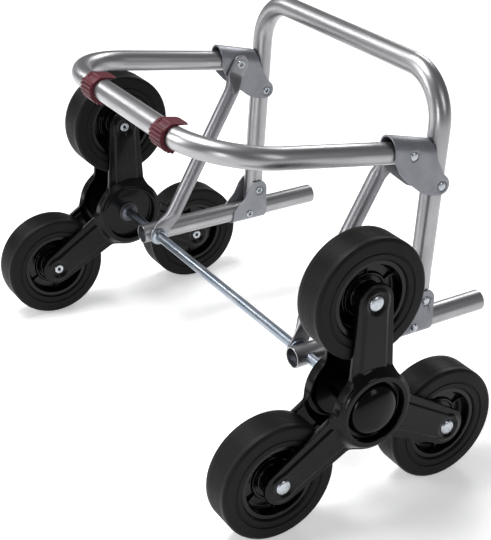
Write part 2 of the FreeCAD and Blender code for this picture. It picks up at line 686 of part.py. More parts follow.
def star_hub(name, side, place_x, turn):
    """Barrel between the plates, two flanged bushes and the outer cap."""
    inner_end = "(dims.dish_floor - dims.star_wall)"
    barrel = cut(rod("dims.barrel_dia / 2", f"2 * {inner_end}", f"-{inner_end}"),
                 rod("dims.bush_dia / 2 + dims.fit", f"2 * {inner_end}", f"-{inner_end}"))
    piece(f"{name}_hub_barrel", barrel, place_x, turn=turn)
    bushes = []
    for way in (-1, 1):
        near = "dims.dish_floor - dims.bush_length"
        far = "dims.dish_floor + dims.bush_lip"
        bushes.append(cut(fuse(pin(way, "dims.bush_dia / 2", near, far),
                               pin(way, "dims.bush_flange / 2", "dims.dish_floor", far)),
                          pin(way, f"{AXLE} + dims.fit", near, far)))
    piece(f"{name}_hub_bushes", group(*bushes), place_x, turn=turn)
    radius = "dims.cap_dia / 2"
    cap = cut(dome(radius, "dims.cap_rise", "dims.dish_floor", 1),
              dome(f"{radius} - dims.cap_wall * 1.5", "dims.cap_rise - dims.cap_wall",
                   "dims.dish_floor", 1))
    piece(f"{name}_hub_cap", cap, place_x, turn=turn)


def wheel_pins(name, place_x, turn):
    """Three riveted pins that carry the wheels between the plates."""
    items = []
    for spot in arm_spots():
        items.append(fuse(
            rod("dims.pin_dia / 2", "2 * dims.star_face", "-dims.star_face", *spot),
            dome("dims.pin_head / 2", "dims.pin_rise", "dims.star_face", 1, *spot),
            rod("dims.pin_tail / 2", "dims.pin_stub",
                "-dims.star_face - dims.pin_stub", *spot)))
    piece(f"{name}_wheel_pins", group(*items), place_x, turn=turn)


def wheel(name, side, arm, spot):
    """Rubber tyre on a plastic rim that turns on a steel bush."""
    place = (f"{side} * dims.wheel_plane", *spot)
    width = "dims.tyre_width"
    solid = rounded(rod("dims.wheel_dia / 2", width, f"-{width} / 2"),
                    "dims.tyre_round", lambda edge: edge.Curve.TypeId == "Part::GeomCircle")
    grooves = [at(bound("Part::Torus", Radius1="dims.groove_dia / 2",
                        Radius2="dims.groove_size / 2"),
                  f"{way} * {width} / 2", "0", "0", ACROSS) for way in (-1, 1)]
    tyre = cut(solid, rod("dims.tyre_bore / 2", width, f"-{width} / 2"), *grooves)
    piece(f"{name}_{arm}_tyre", tyre, *place)
    hub = f"({PLATE_IN} - dims.end_float)"
    seat = "(dims.tyre_bore / 2 - dims.fit)"
    rim = cut(fuse(cut(rod(seat, "dims.rim_width", "-dims.rim_width / 2"),
                       rod("dims.rim_lip / 2", "dims.rim_width", "-dims.rim_width / 2")),
                   rod(f"(dims.rim_lip / 2 + {seat}) / 2", "dims.rim_web",
                       "-dims.rim_web / 2"),
                   rod("dims.rim_hub / 2", f"2 * {hub}", f"-{hub}")),
              rod("dims.sleeve_dia / 2 + dims.fit", f"2 * {hub}", f"-{hub}"))
    piece(f"{name}_{arm}_rim", rim, *place)
    bush = cut(rod("dims.sleeve_dia / 2", f"2 * {hub}", f"-{hub}"),
               rod("dims.pin_dia / 2 + dims.fit", f"2 * {hub}", f"-{hub}"))
    piece(f"{name}_{arm}_wheel_bush", bush, *place)


# ------------------------------------------------------------------- assembly
axle_parts()
lower_rivets()
platform_hoop()
upper_rivets()
foot_bow = foot_frame()
foot_clip("left_foot_clip", "-dims.clip_left", foot_bow)
foot_clip("right_foot_clip", "dims.clip_right", foot_bow)
stay_rivets()
for name, side in SIDES.items():
    main_tube(name, side)
    lower_bracket(name, side)
    upper_bracket(name, side)
    stay(name, side)
    place_x = f"{side} * dims.wheel_plane"
    outward = Rotation() if side > 0 else Rotation(Vector(0, 0, 1), 180)
    inward = outward * Rotation(Vector(0, 0, 1), 180)
    star_plate(f"{name}_outer_plate", place_x, outward)
    star_plate(f"{name}_inner_plate", place_x, inward)
    star_hub(name, side, place_x, outward)
    wheel_pins(name, place_x, outward)
    for arm, spot in zip(ARMS, arm_spots()):
        wheel(name, side, arm, spot)

doc.recompute()
for item in doc.Objects:
    if "Invalid" in item.State or "Error" in item.State:
        raise RuntimeError(f"{item.Label} did not build: {item.State}")
for item in pieces:
    if item.Shape.isNull() or not item.Shape.isValid():
        raise RuntimeError(f"{item.Label} has no valid shape")

os.makedirs("parts", exist_ok=True)
for item in pieces:
    item.Shape.exportStep(f"parts/{item.Label}.step")
    print(item.Label, len(item.Shape.Solids), round(item.Shape.Volume, 1))
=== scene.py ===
"""Looks of the folding chassis of a stair-climbing shopping trolley."""
import json
import math

import bmesh
import bpy
from mathutils import Matrix, Vector
from mathutils.geometry import delaunay_2d_cdt


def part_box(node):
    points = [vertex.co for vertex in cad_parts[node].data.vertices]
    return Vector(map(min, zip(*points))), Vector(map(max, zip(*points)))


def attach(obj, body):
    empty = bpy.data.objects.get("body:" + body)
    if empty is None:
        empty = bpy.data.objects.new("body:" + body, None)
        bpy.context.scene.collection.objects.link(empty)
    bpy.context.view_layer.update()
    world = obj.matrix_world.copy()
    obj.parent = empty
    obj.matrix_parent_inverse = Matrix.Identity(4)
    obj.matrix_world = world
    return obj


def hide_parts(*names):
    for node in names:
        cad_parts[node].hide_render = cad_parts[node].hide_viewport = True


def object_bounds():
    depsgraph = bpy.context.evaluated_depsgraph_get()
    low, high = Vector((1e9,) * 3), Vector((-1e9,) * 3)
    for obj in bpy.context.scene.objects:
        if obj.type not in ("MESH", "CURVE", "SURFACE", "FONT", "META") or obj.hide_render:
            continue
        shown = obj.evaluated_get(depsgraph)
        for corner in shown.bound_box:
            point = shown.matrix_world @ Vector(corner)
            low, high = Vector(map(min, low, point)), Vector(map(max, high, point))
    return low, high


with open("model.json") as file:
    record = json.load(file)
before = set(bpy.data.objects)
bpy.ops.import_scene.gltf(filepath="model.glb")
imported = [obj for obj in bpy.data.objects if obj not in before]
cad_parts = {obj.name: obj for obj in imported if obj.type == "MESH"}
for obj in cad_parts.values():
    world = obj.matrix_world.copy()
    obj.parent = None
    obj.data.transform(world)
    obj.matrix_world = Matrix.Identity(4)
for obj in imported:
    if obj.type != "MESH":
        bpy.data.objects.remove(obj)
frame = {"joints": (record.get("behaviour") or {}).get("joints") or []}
cad_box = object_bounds()


# ------------------------------------------------------------------- studio
# A pale floor that glows a little, in a light room. One large soft box hangs over
# the trolley, others stand round it, and two narrow ones draw streaks on the tubes.
FLOOR_HALF = 40.0
FLOOR_COLOUR = (0.90, 0.90, 0.90)
FLOOR_GLOW = 0.36
ROOM_COLOUR = (0.95, 0.96, 1.0)
ROOM_LIGHT = 0.2
ROOM_SEEN = 0.62
bpy.context.scene.view_settings.view_transform = "Standard"


def new_finish(name, colour, metallic=0.0, roughness=0.5, coat=0.0, coat_roughness=0.06):
    """A material with plain settings; returns it with its node tree and shader."""
    material = bpy.data.materials.new(name)
    material.use_nodes = True
    shader = material.node_tree.nodes["Principled BSDF"]
    shader.inputs["Base Color"].default_value = (*colour, 1)
    shader.inputs["Metallic"].default_value = metallic
    shader.inputs["Roughness"].default_value = roughness
    shader.inputs["Coat Weight"].default_value = coat
    shader.inputs["Coat Roughness"].default_value = coat_roughness
    return material, material.node_tree, shader


def noise(tree, source, scale, detail=3.0, stretch=(1, 1, 1)):
    """Cloudy pattern over a vector output, drawn out along the axes by stretch."""
    mapping = tree.nodes.new("ShaderNodeMapping")
    mapping.inputs["Scale"].default_value = stretch
    tree.links.new(source, mapping.inputs["Vector"])
    cloud = tree.nodes.new("ShaderNodeTexNoise")
    cloud.inputs["Scale"].default_value = scale
    cloud.inputs["Detail"].default_value = detail
    tree.links.new(mapping.outputs["Vector"], cloud.inputs["Vector"])
    return cloud.outputs["Fac"]


def ranged(tree, value, low, high, start=0.3, stop=0.7):
    """Value from start to stop, spread over low to high."""
    node = tree.nodes.new("ShaderNodeMapRange")
    for socket, number in (("From Min", start), ("From Max", stop), ("To Min", low),
                           ("To Max", high)):
        node.inputs[socket].default_value = number
    tree.links.new(value, node.inputs["Value"])
    return node.outputs["Result"]


def place_of(tree):
    """Places on the piece, in metres."""
    return tree.nodes.new("ShaderNodeTexCoord").outputs["Object"]


floor_finish, tree, shader = new_finish("studio_floor", FLOOR_COLOUR, roughness=0.6)
mottle = noise(tree, place_of(tree), 3.0)
tree.links.new(ranged(tree, mottle, 0.55, 0.65), shader.inputs["Roughness"])
shader.inputs["Emission Color"].default_value = (1, 1, 1, 1)
shader.inputs["Emission Strength"].default_value = FLOOR_GLOW
floor_mesh = bpy.data.meshes.new("floor")
floor_mesh.from_pydata([(-FLOOR_HALF, -FLOOR_HALF, 0), (FLOOR_HALF, -FLOOR_HALF, 0),
                        (FLOOR_HALF, FLOOR_HALF, 0), (-FLOOR_HALF, FLOOR_HALF, 0)],
                       [], [(0, 1, 2, 3)])
floor_mesh.materials.append(floor_finish)
floor = bpy.data.objects.new("floor", floor_mesh)
bpy.context.scene.collection.objects.link(floor)

world = bpy.data.worlds.new("light_room")
world.use_nodes = True
backdrop = world.node_tree.nodes["Background"]
backdrop.inputs["Color"].default_value = (*ROOM_COLOUR, 1)
seen = world.node_tree.nodes.new("ShaderNodeLightPath").outputs["Is Camera Ray"]
brightness = ranged(world.node_tree, seen, ROOM_LIGHT, ROOM_SEEN, 0.0, 1.0)
world.node_tree.links.new(brightness, backdrop.inputs["Strength"])
bpy.context.scene.world = world

middle = (cad_box[0] + cad_box[1]) / 2
# name, place in metres from the middle of the trolley, size, watts
SOFT_BOXES = (("overhead", (-0.5, -0.5, 1.9), (1.1, 0.8), 40),
              ("front_side", (-0.9, -1.9, 0.9), (0.6, 1.2), 18),
              ("wheel_side", (2.1, 0.7, 1.3), (0.6, 1.2), 7),
              ("back_side", (-1.3, 1.9, 1.4), (0.9, 0.9), 16),
              ("left_strip", (-2.2, -0.9, 1.7), (0.35, 1.6), 16),
              ("edge_strip", (1.4, -1.7, 0.4), (0.22, 0.8), 7))
for name, offset, size, watts in SOFT_BOXES:
    lamp = bpy.data.lights.new(name, "AREA")
    lamp.shape = "RECTANGLE"
    lamp.size, lamp.size_y = size
    lamp.energy = watts
    soft_box = bpy.data.objects.new(name, lamp)
    soft_box.location = middle + Vector(offset)
    soft_box.rotation_euler = Vector(offset).to_track_quat("Z", "Y").to_euler()
    bpy.context.scene.collection.objects.link(soft_box)


# ------------------------------------------------------------------- camera
# It stands in front of the right wheels, well above the trolley, and looks
# down along the axle.
CAMERA_TURN = 58.31
CAMERA_RISE = 27.31
CAMERA_ROLL = 0.52
CAMERA_AWAY = 1.2936
CAMERA_AIM = (0.2232, -0.1227, 0.2726)
CAMERA_SHIFT = (-0.0247, 0.0024)
SENSOR = 36.0
LENS = 85.2

camera = bpy.data.objects.new("camera", bpy.data.cameras.new("camera"))
turn = math.radians(CAMERA_TURN)
rise = math.radians(CAMERA_RISE)
back = Vector((math.sin(turn) * math.cos(rise), -math.cos(turn) * math.cos(rise),
               math.sin(rise)))
camera.location = Vector(CAMERA_AIM) + back * CAMERA_AWAY
facing = back.to_track_quat("Z", "Y")
camera.rotation_euler = (facing.to_matrix()
                         @ Matrix.Rotation(math.radians(CAMERA_ROLL), 3, "Z")).to_euler()
camera.data.sensor_width = SENSOR
camera.data.lens = LENS
camera.data.shift_x, camera.data.shift_y = CAMERA_SHIFT
bpy.context.scene.collection.objects.link(camera)
bpy.context.scene.camera = camera


# --------------------------------------------------------------- main tubes
# Two drawn aluminium tubes run from just ahead of the axle to the handle.
# Both ends are cut square and deburred, and the rear ends are reamed.
SIDES = {"left": -1, "right": 1}
TO_MM = 1000.0
TUBE_WALL = 1.5
REAM = 0.25
REAM_TAPER = 0.3
LIP = 0.5
RING = 56


def span(node):
    """Lowest and highest corner of a piece of the frame, in millimetres."""
    low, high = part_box(node)
    return low * TO_MM, high * TO_MM


def even_normals(made):
    """Keep flats flat beside their rounded edges."""
    modifier = made.modifiers.new("normals", "WEIGHTED_NORMAL")
    modifier.keep_sharp = True
    return made


def solid(name, points, faces, finish, sharp=35.0, drawn=None, even=True):
    """A piece from points in millimetres, smooth but for edges over sharp degrees."""
    mesh = bpy.data.meshes.new(name)
    mesh.from_pydata([Vector(point) / TO_MM for point in points], [], faces)
    if drawn:
        run = mesh.attributes.new("drawn", "FLOAT_VECTOR", "POINT")
        for spot, value in zip(run.data, drawn):
            spot.vector = Vector(value) / TO_MM
    shape = bmesh.new()
    shape.from_mesh(mesh)
    bmesh.ops.remove_doubles(shape, verts=shape.verts, dist=1e-6)
    bmesh.ops.recalc_face_normals(shape, faces=shape.faces)
    shape.to_mesh(mesh)
    shape.free()
    mesh.shade_smooth()
    mesh.set_sharp_from_angle(angle=math.radians(sharp))
    mesh.materials.append(finish)
    made = bpy.data.objects.new(name, mesh)
    bpy.context.scene.collection.objects.link(made)
    return even_normals(made) if even else made


def skin(rings, closed=False, capped=False):
    """Points and faces of a surface stretched over rings of equal length."""
    points = [point for ring in rings for point in ring]
    size = len(rings[0])
    count = len(rings)
    faces = []
    for index in range(count if closed else count - 1):
        low = index * size
        high = (index + 1) % count * size
        for spot in range(size):
            beside = (spot + 1) % size
            faces.append((low + spot, low + beside, high + beside, high + spot))
    if capped:
        faces.append(tuple(range(size)))
        faces.append(tuple(reversed(range((count - 1) * size, count * size))))
    return points, faces


def tube(path, bore_ends=(0.0, 0.0)):
    """Hollow round tube along a path of (point, direction) in one plane.

    Returns points, faces and how far each point lies along and round the tube.
    """
    inner = TUBE_OUTER - TUBE_WALL
    length = [0.0]
    for index in range(1, len(path)):
        length.append(length[-1] + (path[index][0] - path[index - 1][0]).length)
    across = path[0][1].cross(Vector((1, 0, 0))).normalized()
    stations = []
    first, last = path[0], path[-1]
    for index, (point, way) in enumerate(path):
        if 0 < index < len(path) - 1:
            stations.append((point, way, TUBE_OUTER, length[index]))
    head = [(first[0] + first[1] * LIP, first[1], TUBE_OUTER, LIP),
            (first[0] + first[1] * LIP * 0.3, first[1], TUBE_OUTER - LIP * 0.3, LIP * 0.3),
            (first[0], first[1], TUBE_OUTER - LIP, 0.0)]
    tail = [(last[0] - last[1] * LIP, last[1], TUBE_OUTER, length[-1] - LIP),
            (last[0] - last[1] * LIP * 0.3, last[1], TUBE_OUTER - LIP * 0.3, length[-1]),
            (last[0], last[1], TUBE_OUTER - LIP, length[-1])]
    inside = []
    for start, ream, side in ((first, bore_ends[0], 1), (last, bore_ends[1], -1)):
        bore = inner + (REAM if ream else 0.0)
        rows = [(start[0], start[1], bore + LIP * 0.6, 0.0),
                (start[0] + start[1] * side * LIP * 0.6, start[1], bore, 0.0)]
        if ream:
            rows.append((start[0] + start[1] * side * ream, start[1], bore, 0.0))
            rows.append((start[0] + start[1] * side * (ream + REAM_TAPER), start[1], inner, 0.0))
        inside.append(rows)
    middle_bore = [(point, way, inner, along)
                   for point, way, _, along in reversed(stations)]
    rows = (head[::-1] + stations + tail + inside[1] + middle_bore + inside[0][::-1])
    rings = []
    drawn = []
    for point, way, radius, along in rows:
        up = way.cross(across)
        ring = []
        for step in range(RING):
            angle = 2 * math.pi * step / RING
            ring.append(point + across * radius * math.cos(angle)
                        + up * radius * math.sin(angle))
            drawn.append((radius * math.cos(angle), radius * math.sin(angle), along))
        rings.append(ring)
    points, faces = skin(rings, closed=True)
    return points, faces, drawn


def tinted(tree, value, first, second):
    """Colour between first and second, led by a value."""
    ramp = tree.nodes.new("ShaderNodeValToRGB")
    ramp.color_ramp.elements[0].position = 0.3
    ramp.color_ramp.elements[0].color = (*first, 1)
    ramp.color_ramp.elements[1].position = 0.7
    ramp.color_ramp.elements[1].color = (*second, 1)
    tree.links.new(value, ramp.inputs["Fac"])
    return ramp.outputs["Color"]


def bumped(tree, shader, height, distance, strength=1.0):
    """Raise the surface by a pattern, by distance in metres."""
    bump = tree.nodes.new("ShaderNodeBump")
    bump.inputs["Strength"].default_value = strength
    bump.inputs["Distance"].default_value = distance
    tree.links.new(height, bump.inputs["Height"])
    tree.links.new(bump.outputs["Normal"], shader.inputs["Normal"])


def drawn_metal(name, first, second, roughness):
    """Bright drawn aluminium: faint die lines along the tube, soft clouding."""
    material, tree, shader = new_finish(name, first, metallic=1.0, roughness=roughness)
    run = tree.nodes.new("ShaderNodeAttribute")
    run.attribute_name = "drawn"
    lines = noise(tree, run.outputs["Vector"], 900.0, 4.0, (1, 1, 0.012))
    cloud = noise(tree, run.outputs["Vector"], 55.0, 3.0, (1, 1, 0.35))
    tree.links.new(tinted(tree, cloud, first, second), shader.inputs["Base Color"])
    worn = tree.nodes.new("ShaderNodeMath")
    worn.operation = "ADD"
    tree.links.new(ranged(tree, lines, -0.03, 0.04), worn.inputs[0])
    tree.links.new(ranged(tree, cloud, roughness - 0.03, roughness + 0.05), worn.inputs[1])
    tree.links.new(worn.outputs[0], shader.inputs["Roughness"])
    bumped(tree, shader, lines, 0.00001, 0.4)
    return material


tube_finish = drawn_metal("drawn_aluminium", (0.40, 0.397, 0.405), (0.33, 0.33, 0.342), 0.33)
low, high = span("left_main_tube")
TUBE_OUTER = (high.x - low.x) / 2
GAUGE_HALF = -(high.x + low.x) / 2
TUBE_LEVEL = (high.z + low.z) / 2
SOCKET_DEPTH = 60.0
MAIN_STATIONS = 9
for name, side in SIDES.items():
    run = Vector((0, 1, 0))
    path = [(Vector((side * GAUGE_HALF, low.y + (high.y - low.y) * step / MAIN_STATIONS,
                     TUBE_LEVEL)), run) for step in range(MAIN_STATIONS + 1)]
    points, faces, drawn = tube(path, (0.0, SOCKET_DEPTH))
    main_tube = solid(f"frame_tube_{name}", points, faces, tube_finish, drawn=drawn)
    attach(main_tube, "chassis")
    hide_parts(f"{name}_main_tube")


# --------------------------------------------------------------- load hoop
# One bent aluminium tube carries the load. Its two legs turn on the lower
# brackets, and the bar across the top has a quarter bend at each side.
HOOP_LEAN = math.radians(3.9)
HOOP_BEND = 57.0
LEG_BELOW_PIVOT = 16.2
BEND_STEPS = 18
RUN_STEPS = 8

pivot = {joint["name"]: Vector(joint["pos_m"]) * TO_MM for joint in frame["joints"]}


def bow_path(feet, rise_way, height, bend):
    """Path up one leg, round a bend, across, round a bend and down the other leg.

    feet is the middle between the leg ends, rise_way the direction of the legs.
    """
    side_way = Vector((1, 0, 0))
    path = []
    for step in range(RUN_STEPS + 1):
        path.append((feet - side_way * GAUGE_HALF
                     + rise_way * (height - bend) * step / RUN_STEPS, rise_way))
    for flank in (-1, 1):
        centre = feet + side_way * flank * (GAUGE_HALF - bend) + rise_way * (height - bend)
        for step in range(1, BEND_STEPS + 1):
            angle = math.pi / 2 * step / BEND_STEPS
            if flank > 0:
                angle = math.pi / 2 - angle
            out = side_way * flank * math.cos(angle) + rise_way * math.sin(angle)
            way = -side_way * flank * math.sin(angle) + rise_way * math.cos(angle)
            path.append((centre + out * bend, way if flank < 0 else -way))
        if flank < 0:
            last = path[-1][0]
            bar = 2 * (GAUGE_HALF - bend)
            for step in range(1, RUN_STEPS + 1):
                path.append((last + side_way * bar * step / RUN_STEPS, side_way))
    for step in range(1, RUN_STEPS + 1):
        path.append((feet + side_way * GAUGE_HALF
                     + rise_way * (height - bend) * (1 - step / RUN_STEPS), -rise_way))
    return path


low, high = span("platform_hoop")
fold = pivot["platform_fold"]
leg_way = Vector((0, math.sin(HOOP_LEAN), math.cos(HOOP_LEAN)))
bar_axis = Vector((0, high.y - TUBE_OUTER, high.z - TUBE_OUTER))
hoop_rise = (bar_axis - fold).dot(leg_way) + LEG_BELOW_PIVOT
points, faces, drawn = tube(bow_path(bar_axis - leg_way * hoop_rise, leg_way, hoop_rise,
                                     HOOP_BEND))
hoop = solid("load_hoop", points, faces, tube_finish, drawn=drawn)
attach(hoop, "hoop")
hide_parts("platform_hoop")


# ---------------------------------------------------------------- foot bow
# A second bent tube is the foot that the folded trolley stands on. It turns
# between the cheeks of the upper brackets, and its bends are wider.
FOOT_RISE = math.radians(9.2)
FOOT_BEND = 85.0

low, high = span("foot_tube")
foot_way = Vector((0, -math.cos(FOOT_RISE), math.sin(FOOT_RISE)))
front_bar = Vector((0, low.y + TUBE_OUTER, high.z - TUBE_OUTER))
rear_face = high.y - TUBE_OUTER * math.sin(FOOT_RISE)
foot_run = (rear_face - front_bar.y) / math.cos(FOOT_RISE)
points, faces, drawn = tube(bow_path(front_bar - foot_way * foot_run, foot_way, foot_run,
                                     FOOT_BEND))
foot_bow = solid("foot_bow", points, faces, tube_finish, drawn=drawn)
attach(foot_bow, "foot_frame")
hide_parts("foot_tube")


# ----------------------------------------------------------------- brackets
# Four brackets of grey zinc-plated sheet. The lower pair wrap the underside
# of the main tubes, the upper pair roof over the foot bow. Their cheeks have
# shallow pressed seats round the pivots.
ARC_STEP = 0.3
NEARLY_STRAIGHT = math.radians(89)
SHEET = 2.0
SHEET_PLAY = 0.35
SHEET_EDGE = 0.45
SEAT_OUTER = 7.9
SEAT_INNER = 6.8
SEAT_DEPTH = 1.0
SEAT_STEPS = 32
SHANK_RADIUS = 4.0
ARCH_STEPS = 18
SHEET_MIDDLE = TUBE_OUTER + SHEET_PLAY + SHEET / 2


def textured(name, shades, cloud, grain, gloss, relief, metallic=0.0, specular=0.5,
             coat=0.0, gloss_from_cloud=False):
    """A finish with cloudy colour between two shades and a fine relief.

    cloud and grain are (scale, detail, stretch), gloss the roughness from low to
    high, relief the depth in metres and the strength. One shade gives an even colour.
    """
    material, tree, shader = new_finish(name, shades[-1], metallic, gloss[0], coat)
    shader.inputs["Specular IOR Level"].default_value = specular
    place = place_of(tree)
    tone = noise(tree, place, *cloud)
    fine = noise(tree, place, *grain)
    if len(shades) == 2:
        tree.links.new(tinted(tree, tone, *shades), shader.inputs["Base Color"])
    rough = ranged(tree, tone if gloss_from_cloud else fine, *gloss)
    tree.links.new(rough, shader.inputs["Roughness"])
    bumped(tree, shader, fine, *relief)
    return material


bracket_finish = textured("zinc_sheet", ((0.215, 0.223, 0.245), (0.28, 0.288, 0.31)),
                          (40.0, 4.0), (900.0, 2.0, (1, 0.25, 1)), (0.36, 0.50),
                          (0.00003, 0.5), metallic=0.8)


def rounded(corners, closed=True):
    """Corners (u, v, radius) to a line in which each corner is an arc."""
    line = []
    count = len(corners)
    for index, (u, v, radius) in enumerate(corners):
        here = Vector((u, v))
        last = not closed and index in (0, count - 1)
        if radius <= 0 or last:
            line.append(here)
            continue
        before = Vector(corners[index - 1][:2]) - here
        after = Vector(corners[(index + 1) % count][:2]) - here
        half = before.angle(after) / 2
        if half > NEARLY_STRAIGHT:
            line.append(here)
            continue
        reach = min(radius / math.tan(half), 0.48 * before.length, 0.48 * after.length)
        radius = reach * math.tan(half)
        axis = (before.normalized() + after.normalized()).normalized()
        centre = here + axis * radius / math.sin(half)
        start = here + before.normalized() * reach - centre
        stop = here + after.normalized() * reach - centre
        first = math.atan2(start.y, start.x)
        sweep = math.remainder(math.atan2(stop.y, stop.x) - first, 2 * math.pi)
        steps = max(2, round(abs(sweep) / ARC_STEP))
        for step in range(steps + 1):
            angle = first + sweep * step / steps
            line.append(centre + radius * Vector((math.cos(angle), math.sin(angle))))
    return line


def cheek(outline, seats, x, outward):
    """Flat side of a bracket at x, with a pressed seat round each rivet."""
    flat = [Vector(point) for point in outline]
    borders = [[index, (index + 1) % len(flat)] for index in range(len(flat))]
    loops = [list(range(len(flat)))]
    for centre in seats:
        start = len(flat)
        for step in range(SEAT_STEPS):
            angle = 2 * math.pi * step / SEAT_STEPS
            flat.append(Vector(centre)
                        + SEAT_OUTER * Vector((math.cos(angle), math.sin(angle))))
        loops.append(list(range(start, start + SEAT_STEPS)))
        borders += [[start + step, start + (step + 1) % SEAT_STEPS]
                    for step in range(SEAT_STEPS)]
    spots, _, triangles, _, _, _ = delaunay_2d_cdt(flat, borders, [], 1, 1e-5)
    points = [Vector((x, spot.x, spot.y)) for spot in spots]
    faces = []
    for face in triangles:
        centre = sum((spots[corner] for corner in face), Vector((0, 0))) / len(face)
        if all((centre - Vector(seat)).length > SEAT_OUTER * 0.97 for seat in seats):
            faces.append(tuple(face))
    for seat in seats:
        start = len(points)
        # radius of each ring of the seat and how deep it lies
        steps = ((SEAT_OUTER, 0.0), (SEAT_OUTER - 0.5, 0.12), (SEAT_INNER + 0.4, 0.88),
                 (SEAT_INNER, 1.0), (SHANK_RADIUS, 1.0))
        for radius, depth in steps:
            for step in range(SEAT_STEPS):
                angle = 2 * math.pi * step / SEAT_STEPS
                points.append(Vector((x - outward * SEAT_DEPTH * depth,
                                      seat[0] + radius * math.cos(angle),
                                      seat[1] + radius * math.sin(angle))))
        for row in range(len(steps) - 1):
            for step in range(SEAT_STEPS):
                beside = (step + 1) % SEAT_STEPS
                near = start + row * SEAT_STEPS
                far = near + SEAT_STEPS
                faces.append((near + step, near + beside, far + beside, far + step))
    return points, faces


def bracket(name, middle_x, outline, seats, arch_ring, finish):
    """Two cheeks joined by an arch; arch_ring gives the arch's line at a fraction."""
    points = []
    faces = []
    for outward in (-1, 1):
        spots, polygons = cheek(outline, seats, middle_x + outward * SHEET_MIDDLE, outward)
        shift = len(points)
        points += spots
        faces += [tuple(corner + shift for corner in polygon) for polygon in polygons]
    shift = len(points)
    rows = [arch_ring(step / ARCH_STEPS) for step in range(ARCH_STEPS + 1)]
    for row in rows:
        points += [point + Vector((middle_x, 0, 0)) for point in row]
    width = len(rows[0])
    for row in range(ARCH_STEPS):
        for spot in range(width - 1):
            low_spot = shift + row * width + spot
            faces.append((low_spot, low_spot + 1, low_spot + 1 + width, low_spot + width))
    made = solid(name, points, faces, finish, sharp=60, even=False)
    thick = made.modifiers.new("sheet", "SOLIDIFY")
    thick.thickness = SHEET / TO_MM
    thick.offset = 0.0
    thick.use_even_offset = True
    edge = made.modifiers.new("edge", "BEVEL")
    edge.width = SHEET_EDGE / TO_MM
    edge.segments = 2
    edge.limit_method = "ANGLE"
    edge.angle_limit = math.radians(50)
    return even_normals(made)


low, high = span("bracket_rivets")
fix = (low + high) / 2
link = pivot["bracket_swing"]
foot_pin = pivot["foot_swing"]
axle_line = pivot["stay_swing"]

# Lower pair: cheek corners from the front edge over the pivot to the rear edge.
front_edge = fix.y - 25
rear_edge = fold.y + 11.5
SADDLE_ROWS = 12
saddle_spring = [(front_edge + (rear_edge - front_edge) * step / SADDLE_ROWS, TUBE_LEVEL)
                 for step in range(SADDLE_ROWS, -1, -1)]
saddle_outline = (rounded([(front_edge, TUBE_LEVEL, 0),
                           (front_edge, TUBE_LEVEL + 4, 5),
                           (fix.y - 8, TUBE_LEVEL + 21, 12),
                           (fold.y - 15.5, fold.z + 6, 8),
                           (fold.y - 9, fold.z + 13.5, 8),
                           (fold.y + 6, fold.z + 13.5, 7),
                           (rear_edge, fold.z + 5, 8),
                           (rear_edge, TUBE_LEVEL, 0)], closed=False)
                  + [Vector(spot) for spot in saddle_spring[1:-1]])


def saddle_ring(part):
    angle = math.pi * part
    return [Vector((-SHEET_MIDDLE * math.cos(angle), y, z - SHEET_MIDDLE * math.sin(angle)))
            for y, z in saddle_spring]


# Upper pair: the roof line rises to the front, and its ends lean forward.
ROOF_SLOPE = math.radians(14.5)
ROOF_LEANS = (3.6, 7.5)
ROOF_ROWS = 12
roof_low_end = foot_pin + Vector((0, 27.2, -4.0))
roof_edges = (foot_pin.y - 25.5, foot_pin.y + 31.3)


def roof_point(part, row):
    """Point of the roof at a share of the way across and a row from front to rear."""
    angle = math.pi * part
    lift = math.sin(angle)
    start, stop = (edge - lean * lift for edge, lean in zip(roof_edges, ROOF_LEANS))
    y = start + (stop - start) * row / ROOF_ROWS
    z = roof_low_end.z + (roof_low_end.y - y) * math.tan(ROOF_SLOPE)
    return Vector((-SHEET_MIDDLE * math.cos(angle),
                   y + math.sin(ROOF_SLOPE) * SHEET_MIDDLE * lift,
                   z + math.cos(ROOF_SLOPE) * SHEET_MIDDLE * lift))


def roof_ring(part):
    return [roof_point(part, row) for row in range(ROOF_ROWS + 1)]


roof_spring = [Vector((point.y, point.z)) for point in roof_ring(0)]
arm_outline = (rounded([(*roof_spring[0], 0),
                        (foot_pin.y - 25.5, foot_pin.z - 2, 14),
                        (foot_pin.y - 19, foot_pin.z - 16, 16),
                        (foot_pin.y - 8, foot_pin.z - 28.5, 18),
                        (foot_pin.y + 13, link.z - 2, 14),
                        (link.y - 15, link.z - 8, 14),
                        (link.y - 1, link.z - 10.5, 10),
                        (link.y + 8, link.z - 7.5, 9),
                        (link.y + 10.5, link.z + 1, 9),
                        (link.y + 8, link.z + 8, 8),
                        (link.y + 1, link.z + 15, 9),
                        (link.y - 8, foot_pin.z - 12, 9),
                        (*roof_spring[-1], 0)], closed=False)
               + roof_spring[-2:0:-1])

for name, side in SIDES.items():
    saddle = bracket(f"saddle_bracket_{name}", side * GAUGE_HALF, saddle_outline,
                     ((fold.y, fold.z),), saddle_ring, bracket_finish)
    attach(saddle, "chassis")
    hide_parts(f"{name}_lower_bracket")
    arm = bracket(f"roof_bracket_{name}", side * GAUGE_HALF, arm_outline,
                  ((foot_pin.y, foot_pin.z), (link.y, link.z)), roof_ring, bracket_finish)
    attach(arm, "upper_brackets")
    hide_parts(f"{name}_upper_bracket")

# ------------------------------------------------------------------- stays
# A lighter tube on each side braces the foot bow against the axle. Its ends
# are pressed flat and rounded, so that it steps inward beside the brackets.
STAY_RADIUS = 9.5
STAY_FLAT = 3.0
STAY_PAD = 11.6
STAY_PRESSED = 12.0
STAY_TAPER = 27.0
STAY_RING = 48
STAY_END_STEPS = 10

stay_finish = drawn_metal("drawn_stay", (0.30, 0.30, 0.315), (0.23, 0.23, 0.245), 0.40)
reach = foot_pin - axle_line
stay_length = reach.length
stay_way = reach.normalized()
stay_side = Vector((0, stay_way.z, -stay_way.y))


